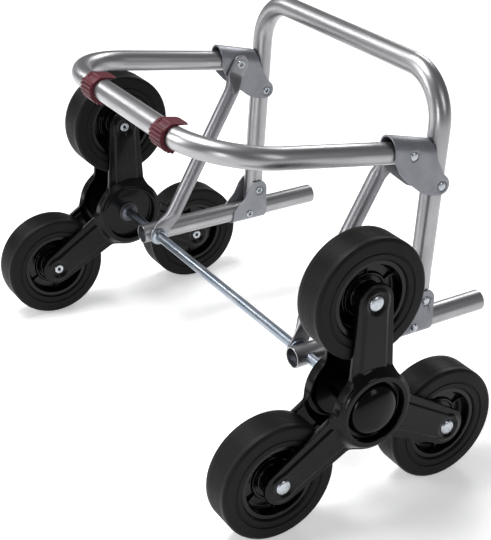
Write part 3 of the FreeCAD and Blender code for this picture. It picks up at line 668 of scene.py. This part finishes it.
def eased(value):
    """Smooth step from 0 to 1."""
    value = min(max(value, 0.0), 1.0)
    return value * value * (3 - 2 * value)


def stay_rings(side, low, high):
    """Rings from the rounded lower end to the rounded upper end."""
    flat_x = (low.x if side < 0 else high.x) - side * STAY_FLAT / 2
    round_x = (high.x - STAY_RADIUS) if side < 0 else (low.x + STAY_RADIUS)
    stops = [-STAY_PAD * math.cos(math.pi / 2 * step / STAY_END_STEPS)
             for step in range(STAY_END_STEPS + 1)]
    stops[0] += 0.02
    stops += [STAY_PRESSED + STAY_TAPER * step / 16 for step in range(17)]
    stops += [stay_length / 2]
    half = len(stops)
    stops += [stay_length - stop for stop in stops[-2::-1]]
    rings = []
    drawn = []
    for stop in stops:
        inside = min(stop, stay_length - stop)
        form = eased((inside - STAY_PRESSED) / STAY_TAPER)
        width = STAY_PAD if inside >= 0 else math.sqrt(STAY_PAD ** 2 - inside ** 2)
        width += (STAY_RADIUS - STAY_PAD) * form
        depth = STAY_FLAT / 2 + (STAY_RADIUS - STAY_FLAT / 2) * form
        power = 2 / (4.5 - 2.5 * form)
        x = flat_x + (round_x - flat_x) * form
        ring = []
        for step in range(STAY_RING):
            angle = 2 * math.pi * step / STAY_RING
            wide = math.copysign(abs(math.cos(angle)) ** power, math.cos(angle))
            deep = math.copysign(abs(math.sin(angle)) ** power, math.sin(angle))
            ring.append(axle_line + stay_way * stop + stay_side * width * wide
                        + Vector((x + depth * deep, 0, 0)))
            drawn.append((width * wide, depth * deep, stop))
        rings.append(ring)
    return rings, drawn


for name, side in SIDES.items():
    rings, drawn = stay_rings(side, *span(f"{name}_stay"))
    points, faces = skin(rings, capped=True)
    stay = solid(f"brace_stay_{name}", points, faces, stay_finish, sharp=50, drawn=drawn,
                 even=False)
    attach(stay, "stays")
    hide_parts(f"{name}_stay")


# ------------------------------------------------------------ axle and clips
# A zinc-plated steel bar runs right across. Washers space the stays off the
# main tubes, and push-on spring clips hold the stays and both stars.
TURN_STEPS = 72
POLE = 0.03
WASHER = 2.4
STAY_GAP = 0.35

axle_finish = textured("blue_zinc", ((0.25, 0.30, 0.36), (0.36, 0.39, 0.43)),
                       (30.0, 3.0), (260.0, 4.0, (0.06, 1, 1)), (0.22, 0.42),
                       (0.00004, 0.5), metallic=1.0)
spring_finish = textured("oiled_spring_steel", ((0.07, 0.077, 0.09), (0.14, 0.15, 0.17)),
                         (150.0, 3.0), (150.0, 3.0), (0.28, 0.46), (0.00004, 0.4),
                         metallic=1.0)


def turned(profile, middle, facing=1, steps=TURN_STEPS):
    """Points and faces of a profile (along, radius) turned about the x axis."""
    rings = []
    for along, radius in profile:
        rings.append([middle + Vector((facing * along,
                                       radius * math.cos(2 * math.pi * step / steps),
                                       radius * math.sin(2 * math.pi * step / steps)))
                      for step in range(steps)])
    return skin(rings, closed=True)


def joined(parts):
    """Several (points, faces) as one."""
    points = []
    faces = []
    for more_points, more_faces in parts:
        shift = len(points)
        points += more_points
        faces += [tuple(corner + shift for corner in face) for face in more_faces]
    return points, faces


low, high = span("axle_rod")
AXLE_RADIUS = (high.z - low.z) / 2
AXLE_BORE = AXLE_RADIUS + 0.05
axle_half = high.x
axle_form = rounded([(axle_half, POLE, 0), (axle_half, AXLE_RADIUS, 1.0),
                     (-axle_half, AXLE_RADIUS, 1.0), (-axle_half, POLE, 0)], closed=False)
axle_bar = solid("axle_bar", *turned(axle_form, axle_line), axle_finish)
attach(axle_bar, "chassis")
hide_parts("axle_rod")

RING_RADIUS = 11.0
inner_cheek = GAUGE_HALF - TUBE_OUTER - SHEET_PLAY - SHEET
stay_face = inner_cheek - STAY_GAP
wheel_plane = abs(pivot["left_star_turn"].x)
HUB_REACH = 29.3
CLIP_DEEP = 3.2
washer_form = rounded([(0, RING_RADIUS, 0.4), (0, AXLE_BORE, 0),
                       (WASHER, AXLE_BORE, 0), (WASHER, RING_RADIUS, 0.4)])
# A dished spring disc with a raised collar that bites on the bar.
clip_form = rounded([(0, RING_RADIUS, 0.3), (0, AXLE_RADIUS + 2.0, 0.3),
                     (1.6, AXLE_BORE, 0.2), (CLIP_DEEP, AXLE_BORE, 0.2),
                     (CLIP_DEEP, AXLE_RADIUS + 1.4, 0.3), (1.5, AXLE_RADIUS + 3.4, 0.6),
                     (1.0, RING_RADIUS, 0.3)])
washers = []
stay_clips = []
hub_clips = []
for side in SIDES.values():
    washers.append(turned(washer_form, axle_line + Vector((side * (stay_face + 0.3), 0, 0)),
                          side))
    stay_clips.append(turned(clip_form, axle_line
                             + Vector((side * (stay_face - STAY_FLAT - 0.3), 0, 0)), -side))
    for way in (-1, 1):
        face = side * wheel_plane + way * HUB_REACH
        hub_clips.append(turned(clip_form, axle_line + Vector((face, 0, 0)), way))
for label, node, parts, finish in (
        ("axle_washers", "stay_washers", washers, axle_finish),
        ("axle_clips_inner", "stay_clips", stay_clips, axle_finish),
        ("axle_clips_hub", "hub_clips", hub_clips, spring_finish)):
    made = solid(label, *joined(parts), finish)
    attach(made, "chassis")
    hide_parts(node)


# ------------------------------------------------------------------ rivets
# Bright zinc rivets with a round head outside. Their inner ends are rolled
# over a hollow shank, which leaves a small dark well in each.
HEAD_RADIUS = 5.5
HEAD_RISE = 2.2
ROLL_RADIUS = 5.0
ROLL_RISE = 1.5
WELL_RADIUS = 2.1

bright_finish = textured("bright_zinc", ((0.36, 0.39, 0.43), (0.56, 0.59, 0.62)),
                         (420.0, 3.0), (420.0, 3.0), (0.16, 0.36), (0.00005, 0.5),
                         metallic=1.0)


def round_head(face, way, radius=HEAD_RADIUS, rise=HEAD_RISE):
    """Profile of a round head on a face, from its rim to its crown."""
    line = []
    for step in range(9):
        angle = math.pi / 2 * step / 8
        line.append((face + way * rise * math.sin(angle), radius * math.cos(angle) ** 0.75))
    line[-1] = (face + way * rise, POLE)
    return line


def rolled_end(face, way, outer=ROLL_RADIUS):
    """Profile of a rolled end on a face, from its rim into the well."""
    rise = way * ROLL_RISE
    return [(face, outer), (face + rise * 0.55, outer - 0.15),
            (face + rise * 0.9, outer - 0.8), (face + rise, outer - 1.6),
            (face + rise * 0.85, WELL_RADIUS + 0.7), (face + rise * 0.3, WELL_RADIUS),
            (face - rise, WELL_RADIUS - 0.3), (face - rise - way * 0.1, POLE)]


def through_rivet(reach):
    """Profile of a rivet with its rolled end and its head reach from the middle."""
    return (rolled_end(-reach, -1)[::-1] + [(-reach, SHANK_RADIUS), (reach, SHANK_RADIUS)]
            + round_head(reach, 1))


cheek_reach = TUBE_OUTER + SHEET_PLAY + SHEET
seat_face = cheek_reach - SEAT_DEPTH
outer_only = ([(SHANK_RADIUS - cheek_reach, POLE), (SHANK_RADIUS - cheek_reach, SHANK_RADIUS),
               (seat_face, SHANK_RADIUS)] + round_head(seat_face, 1))
stay_rivet = (rolled_end(-STAY_FLAT, -1, 5.6)[::-1] + [(-STAY_FLAT, SHANK_RADIUS),
                                                      (0, SHANK_RADIUS), (0, POLE)])
RIVETS = (("hoop_pivot_rivets", "fold_rivets", fold, through_rivet(seat_face), GAUGE_HALF,
           "chassis"),
          ("bracket_rivets", "saddle_rivets", fix, through_rivet(cheek_reach), GAUGE_HALF,
           "chassis"),
          ("link_rivets", "hoop_link_rivets", link, through_rivet(seat_face), GAUGE_HALF,
           "upper_brackets"),
          ("foot_rivets", "foot_pivot_rivets", foot_pin, outer_only, GAUGE_HALF,
           "upper_brackets"),
          ("stay_rivets", "stay_end_rivets", foot_pin, stay_rivet, stay_face, "stays"))
for node, label, spot, form, out, body in RIVETS:
    made = solid(label, *joined(
        [turned(form, Vector((side * out, spot.y, spot.z)), side, 40)
         for side in SIDES.values()]), bright_finish, sharp=50)
    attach(made, body)
    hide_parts(node)


# -------------------------------------------------------------- foot clips
# Two wine-red plastic clips snap round the front bar. Each has grip ribs on
# its front, a smooth band with a window on top and a tongue to the rear.
CLIP_INNER = TUBE_OUTER + 0.05
CLIP_OUTER = TUBE_OUTER + 3.0
CLIP_RIBS = 8
RIB_START = 149.0
RIB_PITCH = 15.8
RIB_RISE = 2.1
TONGUE = 17.5
TONGUE_RISE = 2.9
BAND = range(96, 141, 4)
WINDOW = range(100, 133)
WINDOW_DEEP = 0.9
CLIP_SOFT = 0.7

clip_finish = textured("wine_plastic", ((0.058, 0.004, 0.009), (0.088, 0.007, 0.015)),
                       (70.0, 3.0), (900.0, 2.0), (0.36, 0.52), (0.00005, 0.5),
                       specular=0.3)


def clip_section(shrink, tongue, window):
    """Closed line (y, z) round the clip's section, about the bar's axis."""
    line = []

    def polar(angle, radius):
        turn = math.radians(angle)
        return Vector((radius * math.cos(turn), radius * math.sin(turn)))

    outer = CLIP_OUTER - shrink
    line.append(Vector((tongue, CLIP_INNER - 1.6 + shrink)))
    line.append(Vector((tongue - 0.4, CLIP_INNER - 0.5 - shrink)))
    for step in range(5):
        line.append(Vector((tongue - (tongue - 1.0) * (step + 1) / 5,
                            CLIP_INNER - 0.5 + TONGUE_RISE * (step + 1) / 5 - shrink)))
    for angle in BAND:
        sunk = window if angle in WINDOW else 0.0
        line.append(polar(angle, outer - sunk))
    for rib in range(CLIP_RIBS):
        centre = RIB_START + RIB_PITCH * rib
        for part in (-0.46, -0.34, -0.22, -0.08, 0.08, 0.22, 0.34, 0.46):
            rise = RIB_RISE * math.sqrt(max(0.0, 1 - (part / 0.44) ** 2))
            line.append(polar(centre + RIB_PITCH * part, outer + rise - shrink * 0.3))
    for step in range(3):
        line.append(Vector((1.5 + 3.0 * step, -outer - 0.2 - 0.1 * step)))
    line.append(Vector((8.3, -outer + 0.4)))
    line.append(Vector((8.0, -CLIP_INNER - 0.3 + shrink)))
    line.append(Vector((4.0, -CLIP_INNER - 0.1 + shrink)))
    for angle in range(276, 83, -6):
        line.append(polar(angle, CLIP_INNER + shrink * 0.4))
    line.append(Vector((6.0, CLIP_INNER - 0.4 + shrink)))
    return line


for name in SIDES:
    low, high = span(f"{name}_foot_clip")
    half = (high.x - low.x) / 2
    centre_x = (high.x + low.x) / 2
    # distance from the middle, shrink of the section, tongue, depth of the window
    rows = [(-half, CLIP_SOFT, TONGUE - 2.5, 0.0), (-half + 0.25, 0.25, TONGUE - 1.8, 0.0),
            (-half + CLIP_SOFT, 0.0, TONGUE - 1.2, 0.0), (-half * 0.62, 0.0, TONGUE, 0.0),
            (-half * 0.58, 0.0, TONGUE, WINDOW_DEEP), (half * 0.58, 0.0, TONGUE, WINDOW_DEEP),
            (half * 0.62, 0.0, TONGUE, 0.0), (half - CLIP_SOFT, 0.0, TONGUE - 1.2, 0.0),
            (half - 0.25, 0.25, TONGUE - 1.8, 0.0), (half, CLIP_SOFT, TONGUE - 2.5, 0.0)]
    rings = [[Vector((centre_x + out, front_bar.y + spot.x, front_bar.z + spot.y))
              for spot in clip_section(shrink, tongue, window)]
             for out, shrink, tongue, window in rows]
    points, faces = skin(rings, capped=True)
    clip = solid(f"grip_clip_{name}", points, faces, clip_finish, sharp=50)
    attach(clip, "foot_frame")
    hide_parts(f"{name}_foot_clip")


# ------------------------------------------------------------- star plates
# Each star is a pair of pressed steel plates in black enamel. An edge flange
# runs all round, a raised rib stiffens every arm, and the hub is a deep dish.
ARMS = ("top", "front", "rear")
ARM_STEP = 2 * math.pi / 3
ARM_END = 21.5
ARM_ROOT = 28.7
STAR_DISC = 46.0
STAR_FILLET = 20.0
PLATE_WALL = 2.5
FLANGE = 5.0
EDGE_ROLL = 2.2
RIB_ROOT = 17.0
RIB_TIP = 14.0
RIB_ROUND = 16.0
RIB_RISE_UP = 2.2
PIN_SEAT = 11.0
OUTLINE_STEPS = 336
# hub dish: radius and height over the plate
DISH = ((9.7, 1.5), (14.5, 1.5), (24.0, 1.5), (33.4, 1.5), (34.4, 1.9), (34.9, 2.9),
        (35.3, 9.4), (35.7, 10.4), (36.4, 10.9), (37.6, 11.0), (40.4, 11.0), (41.4, 10.8),
        (42.3, 10.1), (43.0, 9.2))
DISH_FOOT = ((44.4, 7.3), (46.4, 4.5), (48.2, 2.1), (49.4, 0.9), (50.6, 0.2), (52.0, 0.0))
RAY_STEPS = 34
RIB_SLOPE = 3.2
SEAT_SLOPE = 1.8
SEAT_INSET = 0.8
FINE_TURNS = 7200

enamel = textured("black_enamel", ((0.0015, 0.0015, 0.0017), (0.0035, 0.0035, 0.0038)),
                  (24.0, 4.0), (130.0, 2.0), (0.16, 0.30), (0.00012, 0.35),
                  specular=0.12, coat=0.12, gloss_from_cloud=True)

star_arm = (pivot["left_top_wheel_spin"] - pivot["left_star_turn"]).length
taper = (ARM_ROOT - ARM_END) / star_arm
slant = math.sqrt(1 + taper ** 2)
fillet_at = STAR_DISC + STAR_FILLET
fillet_turn = (math.asin((STAR_FILLET * slant + ARM_ROOT) / (fillet_at * slant))
               - math.atan(taper))
fillet_centre = fillet_at * Vector((math.cos(fillet_turn), math.sin(fillet_turn)))
fillet_touch = fillet_centre - STAR_FILLET / slant * Vector((taper, 1))
touch_turn = math.atan2(fillet_touch.y, fillet_touch.x)


def star_radius(angle):
    """Outline of the star as a distance from the axle at an angle."""
    off = abs(math.remainder(angle - math.pi / 2, ARM_STEP))
    if off >= fillet_turn:
        return STAR_DISC
    if off >= touch_turn:
        gap = fillet_turn - off
        return (fillet_at * math.cos(gap)
                - math.sqrt(max(0.0, STAR_FILLET ** 2 - (fillet_at * math.sin(gap)) ** 2)))
    side_line = ARM_ROOT / (math.sin(off) + taper * math.cos(off))
    if side_line * math.cos(off) < star_arm + ARM_END * taper / slant:
        return side_line
    inside = max(0.0, ARM_END ** 2 - (star_arm * math.sin(off)) ** 2)
    return star_arm * math.cos(off) + math.sqrt(inside)


def outline_turns():
    """Angles that divide the outline into equal steps."""
    turns = [2 * math.pi * step / FINE_TURNS for step in range(FINE_TURNS + 1)]
    spots = [star_radius(turn) * Vector((math.cos(turn), math.sin(turn))) for turn in turns]
    run = [0.0]
    for index in range(FINE_TURNS):
        run.append(run[-1] + (spots[index + 1] - spots[index]).length)
    chosen = []
    index = 0
    for step in range(OUTLINE_STEPS):
        want = run[-1] * step / OUTLINE_STEPS
        while run[index + 1] < want:
            index += 1
        share = (want - run[index]) / (run[index + 1] - run[index])
        chosen.append(turns[index] + share * (turns[index + 1] - turns[index]))
    return chosen


def pressed_height(radius, angle):
    """Height of the plate's face over its flat, at a place."""
    dish = 0.0
    table = DISH + DISH_FOOT
    for (near, first), (far, second) in zip(table, table[1:]):
        if near <= radius <= far:
            dish = first + (second - first) * (radius - near) / (far - near)
    if radius < STAR_DISC - 2:
        return dish
    off = math.remainder(angle - math.pi / 2, ARM_STEP)
    along, aside = radius * math.cos(off), abs(radius * math.sin(off))
    from_pin = math.hypot(along - star_arm, aside)
    half = RIB_ROOT + (RIB_TIP - RIB_ROOT) * along / star_arm
    inside = half - aside if along < star_arm else RIB_ROUND - from_pin
    inside = max(inside, RIB_ROUND - from_pin)
    rib = RIB_RISE_UP * eased(inside / RIB_SLOPE + 0.5)
    rib *= eased((from_pin - PIN_SEAT + SEAT_INSET) / SEAT_SLOPE)
    return max(dish, rib)


def star_rings():
    """Rings (height, across, up) of one plate, outside then inside, bore to bore."""
    dish_edge = DISH[-1][0]
    foot_edge = DISH_FOOT[-1][0]
    turns = outline_turns()
    rays = [(math.cos(turn), math.sin(turn), turn, star_radius(turn)) for turn in turns]

    def row(radius_of, height_of):
        ring = []
        for across, up, turn, edge in rays:
            radius = radius_of(edge)
            ring.append((height_of(radius, turn, edge), radius * across, radius * up))
        return ring

    def foot_radius(share):
        return lambda edge: dish_edge + (min(foot_edge, edge - EDGE_ROLL - 0.4)
                                         - dish_edge) * share

    def ray_radius(share):
        return lambda edge: (foot_radius(1)(edge) * (1 - share)
                             + (edge - EDGE_ROLL) * share)

    def on_face(radius, turn, edge):
        return pressed_height(radius, turn)

    def under_face(radius, turn, edge):
        return pressed_height(radius, turn) - PLATE_WALL

    def edge_height(turn, edge):
        return pressed_height(edge - EDGE_ROLL, turn)

    spreads = [lambda edge, radius=radius: radius for radius, _ in DISH]
    spreads += [foot_radius((radius - dish_edge) / (foot_edge - dish_edge))
                for radius, _ in DISH_FOOT]
    spreads += [ray_radius(step / RAY_STEPS) for step in range(1, RAY_STEPS + 1)]
    rings = [row(spread, on_face) for spread in spreads]
    for step in range(1, 5):
        angle = math.pi / 8 * step
        out = EDGE_ROLL * (1 - math.sin(angle))
        drop = EDGE_ROLL * (1 - math.cos(angle))
        rings.append(row(lambda edge, out=out: edge - out,
                         lambda radius, turn, edge, drop=drop: edge_height(turn, edge) - drop))
    for out, level in ((0.0, -FLANGE + 0.5), (0.5, -FLANGE), (PLATE_WALL - 0.5, -FLANGE),
                       (PLATE_WALL, -FLANGE + 0.5)):
        rings.append(row(lambda edge, out=out: edge - out,
                         lambda radius, turn, edge, level=level: level))
    rings.append(row(lambda edge: edge - PLATE_WALL - 0.1,
                     lambda radius, turn, edge: edge_height(turn, edge) - PLATE_WALL - 0.9))
    rings.append(row(lambda edge: edge - PLATE_WALL - 0.35,
                     lambda radius, turn, edge: edge_height(turn, edge) - PLATE_WALL))
    for spread in spreads[-4::-2]:
        rings.append(row(spread, under_face))
    return rings


plate_rings = star_rings()
plate_level = span("left_outer_plate")
STAR_FACE = (-plate_level[0].x - wheel_plane) - DISH[9][1]
for name, side in SIDES.items():
    hub = pivot[f"{name}_star_turn"]
    for label, way in (("outer", side), ("inner", -side)):
        rings = [[hub + Vector((way * (STAR_FACE + height), across, up))
                  for height, across, up in ring] for ring in plate_rings]
        points, faces = skin(rings, closed=True)
        plate = solid(f"star_plate_{name}_{label}", points, faces, enamel, sharp=75)
        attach(plate, f"{name}_star")
        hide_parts(f"{name}_{label}_plate")


# --------------------------------------------------------- hubs and pins
# A steel barrel holds the plates apart and two nylon bushes run on the axle.
# A round cap closes the outer dish, and three riveted pins carry the wheels.
BARREL_RADIUS = 16.0
BUSH_RADIUS = 9.5
BUSH_FLANGE = 14.0
BUSH_LENGTH = 22.0
FLANGE_THICK = 2.0
DISH_FLOOR = STAR_FACE + DISH[0][1]
CAP_RADIUS = 31.0
CAP_RISE = 14.0
PIN_RADIUS = 5.0
PIN_HEAD = 8.7

cap_finish = textured("black_cap", ((0.002, 0.002, 0.0022),), (45.0, 3.0), (700.0, 2.0),
                      (0.09, 0.2), (0.00003, 0.3), specular=0.15, gloss_from_cloud=True)
nylon = textured("dark_nylon", ((0.03, 0.03, 0.032),), (160.0, 3.0), (160.0, 3.0),
                 (0.42, 0.6), (0.00006, 0.4))

barrel_end = DISH_FLOOR - PLATE_WALL
barrel_form = [(-barrel_end, BARREL_RADIUS), (barrel_end, BARREL_RADIUS),
               (barrel_end, BUSH_RADIUS + 0.1), (-barrel_end, BUSH_RADIUS + 0.1)]
bush_inner = DISH_FLOOR - BUSH_LENGTH
bush_outer = DISH_FLOOR + FLANGE_THICK
bush_form = rounded([(bush_inner, BUSH_RADIUS, 0.5), (DISH_FLOOR, BUSH_RADIUS, 0),
                     (DISH_FLOOR, BUSH_FLANGE, 0.4), (bush_outer, BUSH_FLANGE, 0.8),
                     (bush_outer, AXLE_BORE, 0.5),
                     (bush_inner, AXLE_BORE, 0.5)])
cap_form = [(DISH_FLOOR, CAP_RADIUS), (DISH_FLOOR + 1.0, CAP_RADIUS)]
cap_form += [(DISH_FLOOR + 1.0 + (CAP_RISE - 1.0) * math.sin(math.pi / 2 * step / 14),
              (CAP_RADIUS - 0.6) * math.cos(math.pi / 2 * step / 14) ** 0.86)
             for step in range(1, 14)]
cap_form += [(DISH_FLOOR + CAP_RISE, POLE), (DISH_FLOOR + CAP_RISE - 2.0, POLE)]
cap_form += [(DISH_FLOOR + (CAP_RISE - 2.0) * math.sin(math.pi / 2 * step / 10),
              (CAP_RADIUS - 3.0) * math.cos(math.pi / 2 * step / 10) ** 0.86)
             for step in range(9, -1, -1)]
pin_form = (rolled_end(-STAR_FACE, -1, 6.2)[::-1]
            + [(-STAR_FACE, PIN_RADIUS), (STAR_FACE, PIN_RADIUS)]
            + round_head(STAR_FACE, 1, PIN_HEAD, 2.8))
for name, side in SIDES.items():
    hub = pivot[f"{name}_star_turn"]
    body = f"{name}_star"
    inside = (
        (f"hub_barrel_{name}_tube", turned(barrel_form, hub), enamel, "black_enamel",
         "hub_barrel"),
        (f"axle_bushes_{name}", joined([turned(bush_form, hub, way) for way in (-1, 1)]),
         nylon, "bush_nylon", "hub_bushes"),
        (f"hub_dome_{name}", turned(cap_form, hub, side), cap_finish, "cap_plastic",
         "hub_cap"),
        (f"star_pins_{name}", joined(
            [turned(pin_form, pivot[f"{name}_{arm}_wheel_spin"], side, 40)
             for arm in ARMS]), bright_finish, "bright_zinc", "wheel_pins"))
    for label, form, finish, slot, node in inside:
        made = solid(label, *form, finish, sharp=50)
        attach(made, body)
        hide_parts(f"{name}_{node}")


# ------------------------------------------------------------------- wheels
# A solid rubber tyre with rounded shoulders and fine moulded rings on its
# tread, a black moulded rim with a deep recess and webs, and a steel bush.
TREAD_RINGS = 9
TREAD_PITCH = 2.6
TREAD_CUT = 0.3
RIM_WEBS = 6
RIM_SEAT = 43.95
RIM_LIP = 39.0
RIM_HUB = 15.0
RIM_WEB = 4.0
WEB_THICK = 2.2
# radius and height along the top of a web
WEB_LINE = ((25.0, 6.6), (27.5, 6.6), (33.0, 7.2), (36.6, 9.0))

rubber = textured("tyre_rubber", ((0.003, 0.003, 0.0032), (0.006, 0.006, 0.0063)),
                  (26.0, 4.0), (800.0, 2.0), (0.40, 0.56), (0.00006, 0.4),
                  specular=0.14, gloss_from_cloud=True)
rim_finish = textured("rim_black", ((0.002, 0.002, 0.0022),), (60.0, 3.0), (220.0, 2.0),
                      (0.12, 0.26), (0.00010, 0.35), specular=0.25, gloss_from_cloud=True)

low, high = span("left_top_tyre")
TYRE_RADIUS = (high.z - low.z) / 2
TYRE_HALF = (high.x - low.x) / 2
rim_low, rim_high = span("left_top_rim")
RIM_END = (rim_high.x - rim_low.x) / 2
RIM_HALF = 16.5

tread = []
for ring in range(TREAD_RINGS):
    along = TREAD_PITCH * (ring - (TREAD_RINGS - 1) / 2)
    for out, deep in ((-0.55, 0.0), (-0.3, TREAD_CUT), (0.3, TREAD_CUT), (0.55, 0.0)):
        tread.append((along + out, TYRE_RADIUS - deep, 0))
side_face = [(TYRE_HALF, TYRE_RADIUS, 7.5), (TYRE_HALF, 53.6, 0.5),
             (TYRE_HALF - 1.3, 52.9, 0.4), (TYRE_HALF - 1.3, 51.3, 0.4),
             (TYRE_HALF - 0.3, 50.6, 0.5), (TYRE_HALF - 0.6, 45.4, 1.0),
             (TYRE_HALF - 2.6, 44.0, 0.6)]
tyre_form = rounded(tread + side_face
                    + [(-along, radius, soft) for along, radius, soft in side_face[::-1]])
rim_side = [(RIM_HALF, RIM_SEAT, 0.8), (RIM_HALF, RIM_LIP, 0.9),
            (RIM_HALF - 1.5, RIM_LIP - 0.6, 1.0), (RIM_WEB + 2.0, RIM_LIP - 2.0, 2.0),
            (RIM_WEB, RIM_LIP - 4.5, 1.5), (RIM_WEB, 26.5, 1.2), (RIM_WEB + 3.0, 25.6, 0.8),
            (RIM_WEB + 3.0, 23.4, 0.8), (RIM_WEB + 1.0, 22.4, 1.0),
            (RIM_WEB + 1.0, RIM_HUB + 1.8, 1.6), (RIM_END - 0.6, RIM_HUB, 0.5),
            (RIM_END, RIM_HUB - 1.0, 0.4), (RIM_END, 8.05, 0.5)]
rim_form = rounded(rim_side + [(-along, radius, soft)
                               for along, radius, soft in rim_side[::-1]])
sleeve_form = rounded([(RIM_END, 5.05, 0.3), (RIM_END, 8.0, 0.4), (-RIM_END, 8.0, 0.4),
                       (-RIM_END, 5.05, 0.3)])


def rim_ribs(middle):
    """Low radial webs in the recess on both sides of the rim."""
    parts = []
    for way in (-1, 1):
        for web in range(RIM_WEBS):
            turn = 2 * math.pi * (web + 0.5) / RIM_WEBS
            out = Vector((0, math.cos(turn), math.sin(turn)))
            aside = Vector((0, -math.sin(turn), math.cos(turn)))
            rings = []
            for radius, top in WEB_LINE:
                ring = []
                for across, level in ((-1, RIM_WEB - 0.5), (-0.8, top - 0.6), (-0.4, top),
                                      (0.4, top), (0.8, top - 0.6), (1, RIM_WEB - 0.5)):
                    ring.append(middle + out * radius + aside * across * WEB_THICK / 2
                                + Vector((way * level, 0, 0)))
                rings.append(ring)
            parts.append(skin(rings, capped=True))
    return parts


for name, side in SIDES.items():
    for arm in ARMS:
        centre = pivot[f"{name}_{arm}_wheel_spin"]
        body = f"{name}_{arm}_wheel"
        rim = joined([turned(rim_form, centre, 1, 96)] + rim_ribs(centre))
        for label, form, finish, slot, node in (
                ("solid_tyre", turned(tyre_form, centre, 1, 128), rubber, "tyre_rubber",
                 "tyre"),
                ("wheel_rim", rim, rim_finish, "rim_plastic", "rim"),
                ("wheel_sleeve", turned(sleeve_form, centre, 1, 48), bright_finish,
                 "bright_zinc", "wheel_bush")):
            made = solid(f"{label}_{name}_{arm}", *form, finish, sharp=40)
            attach(made, body)
            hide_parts(f"{name}_{arm}_{node}")
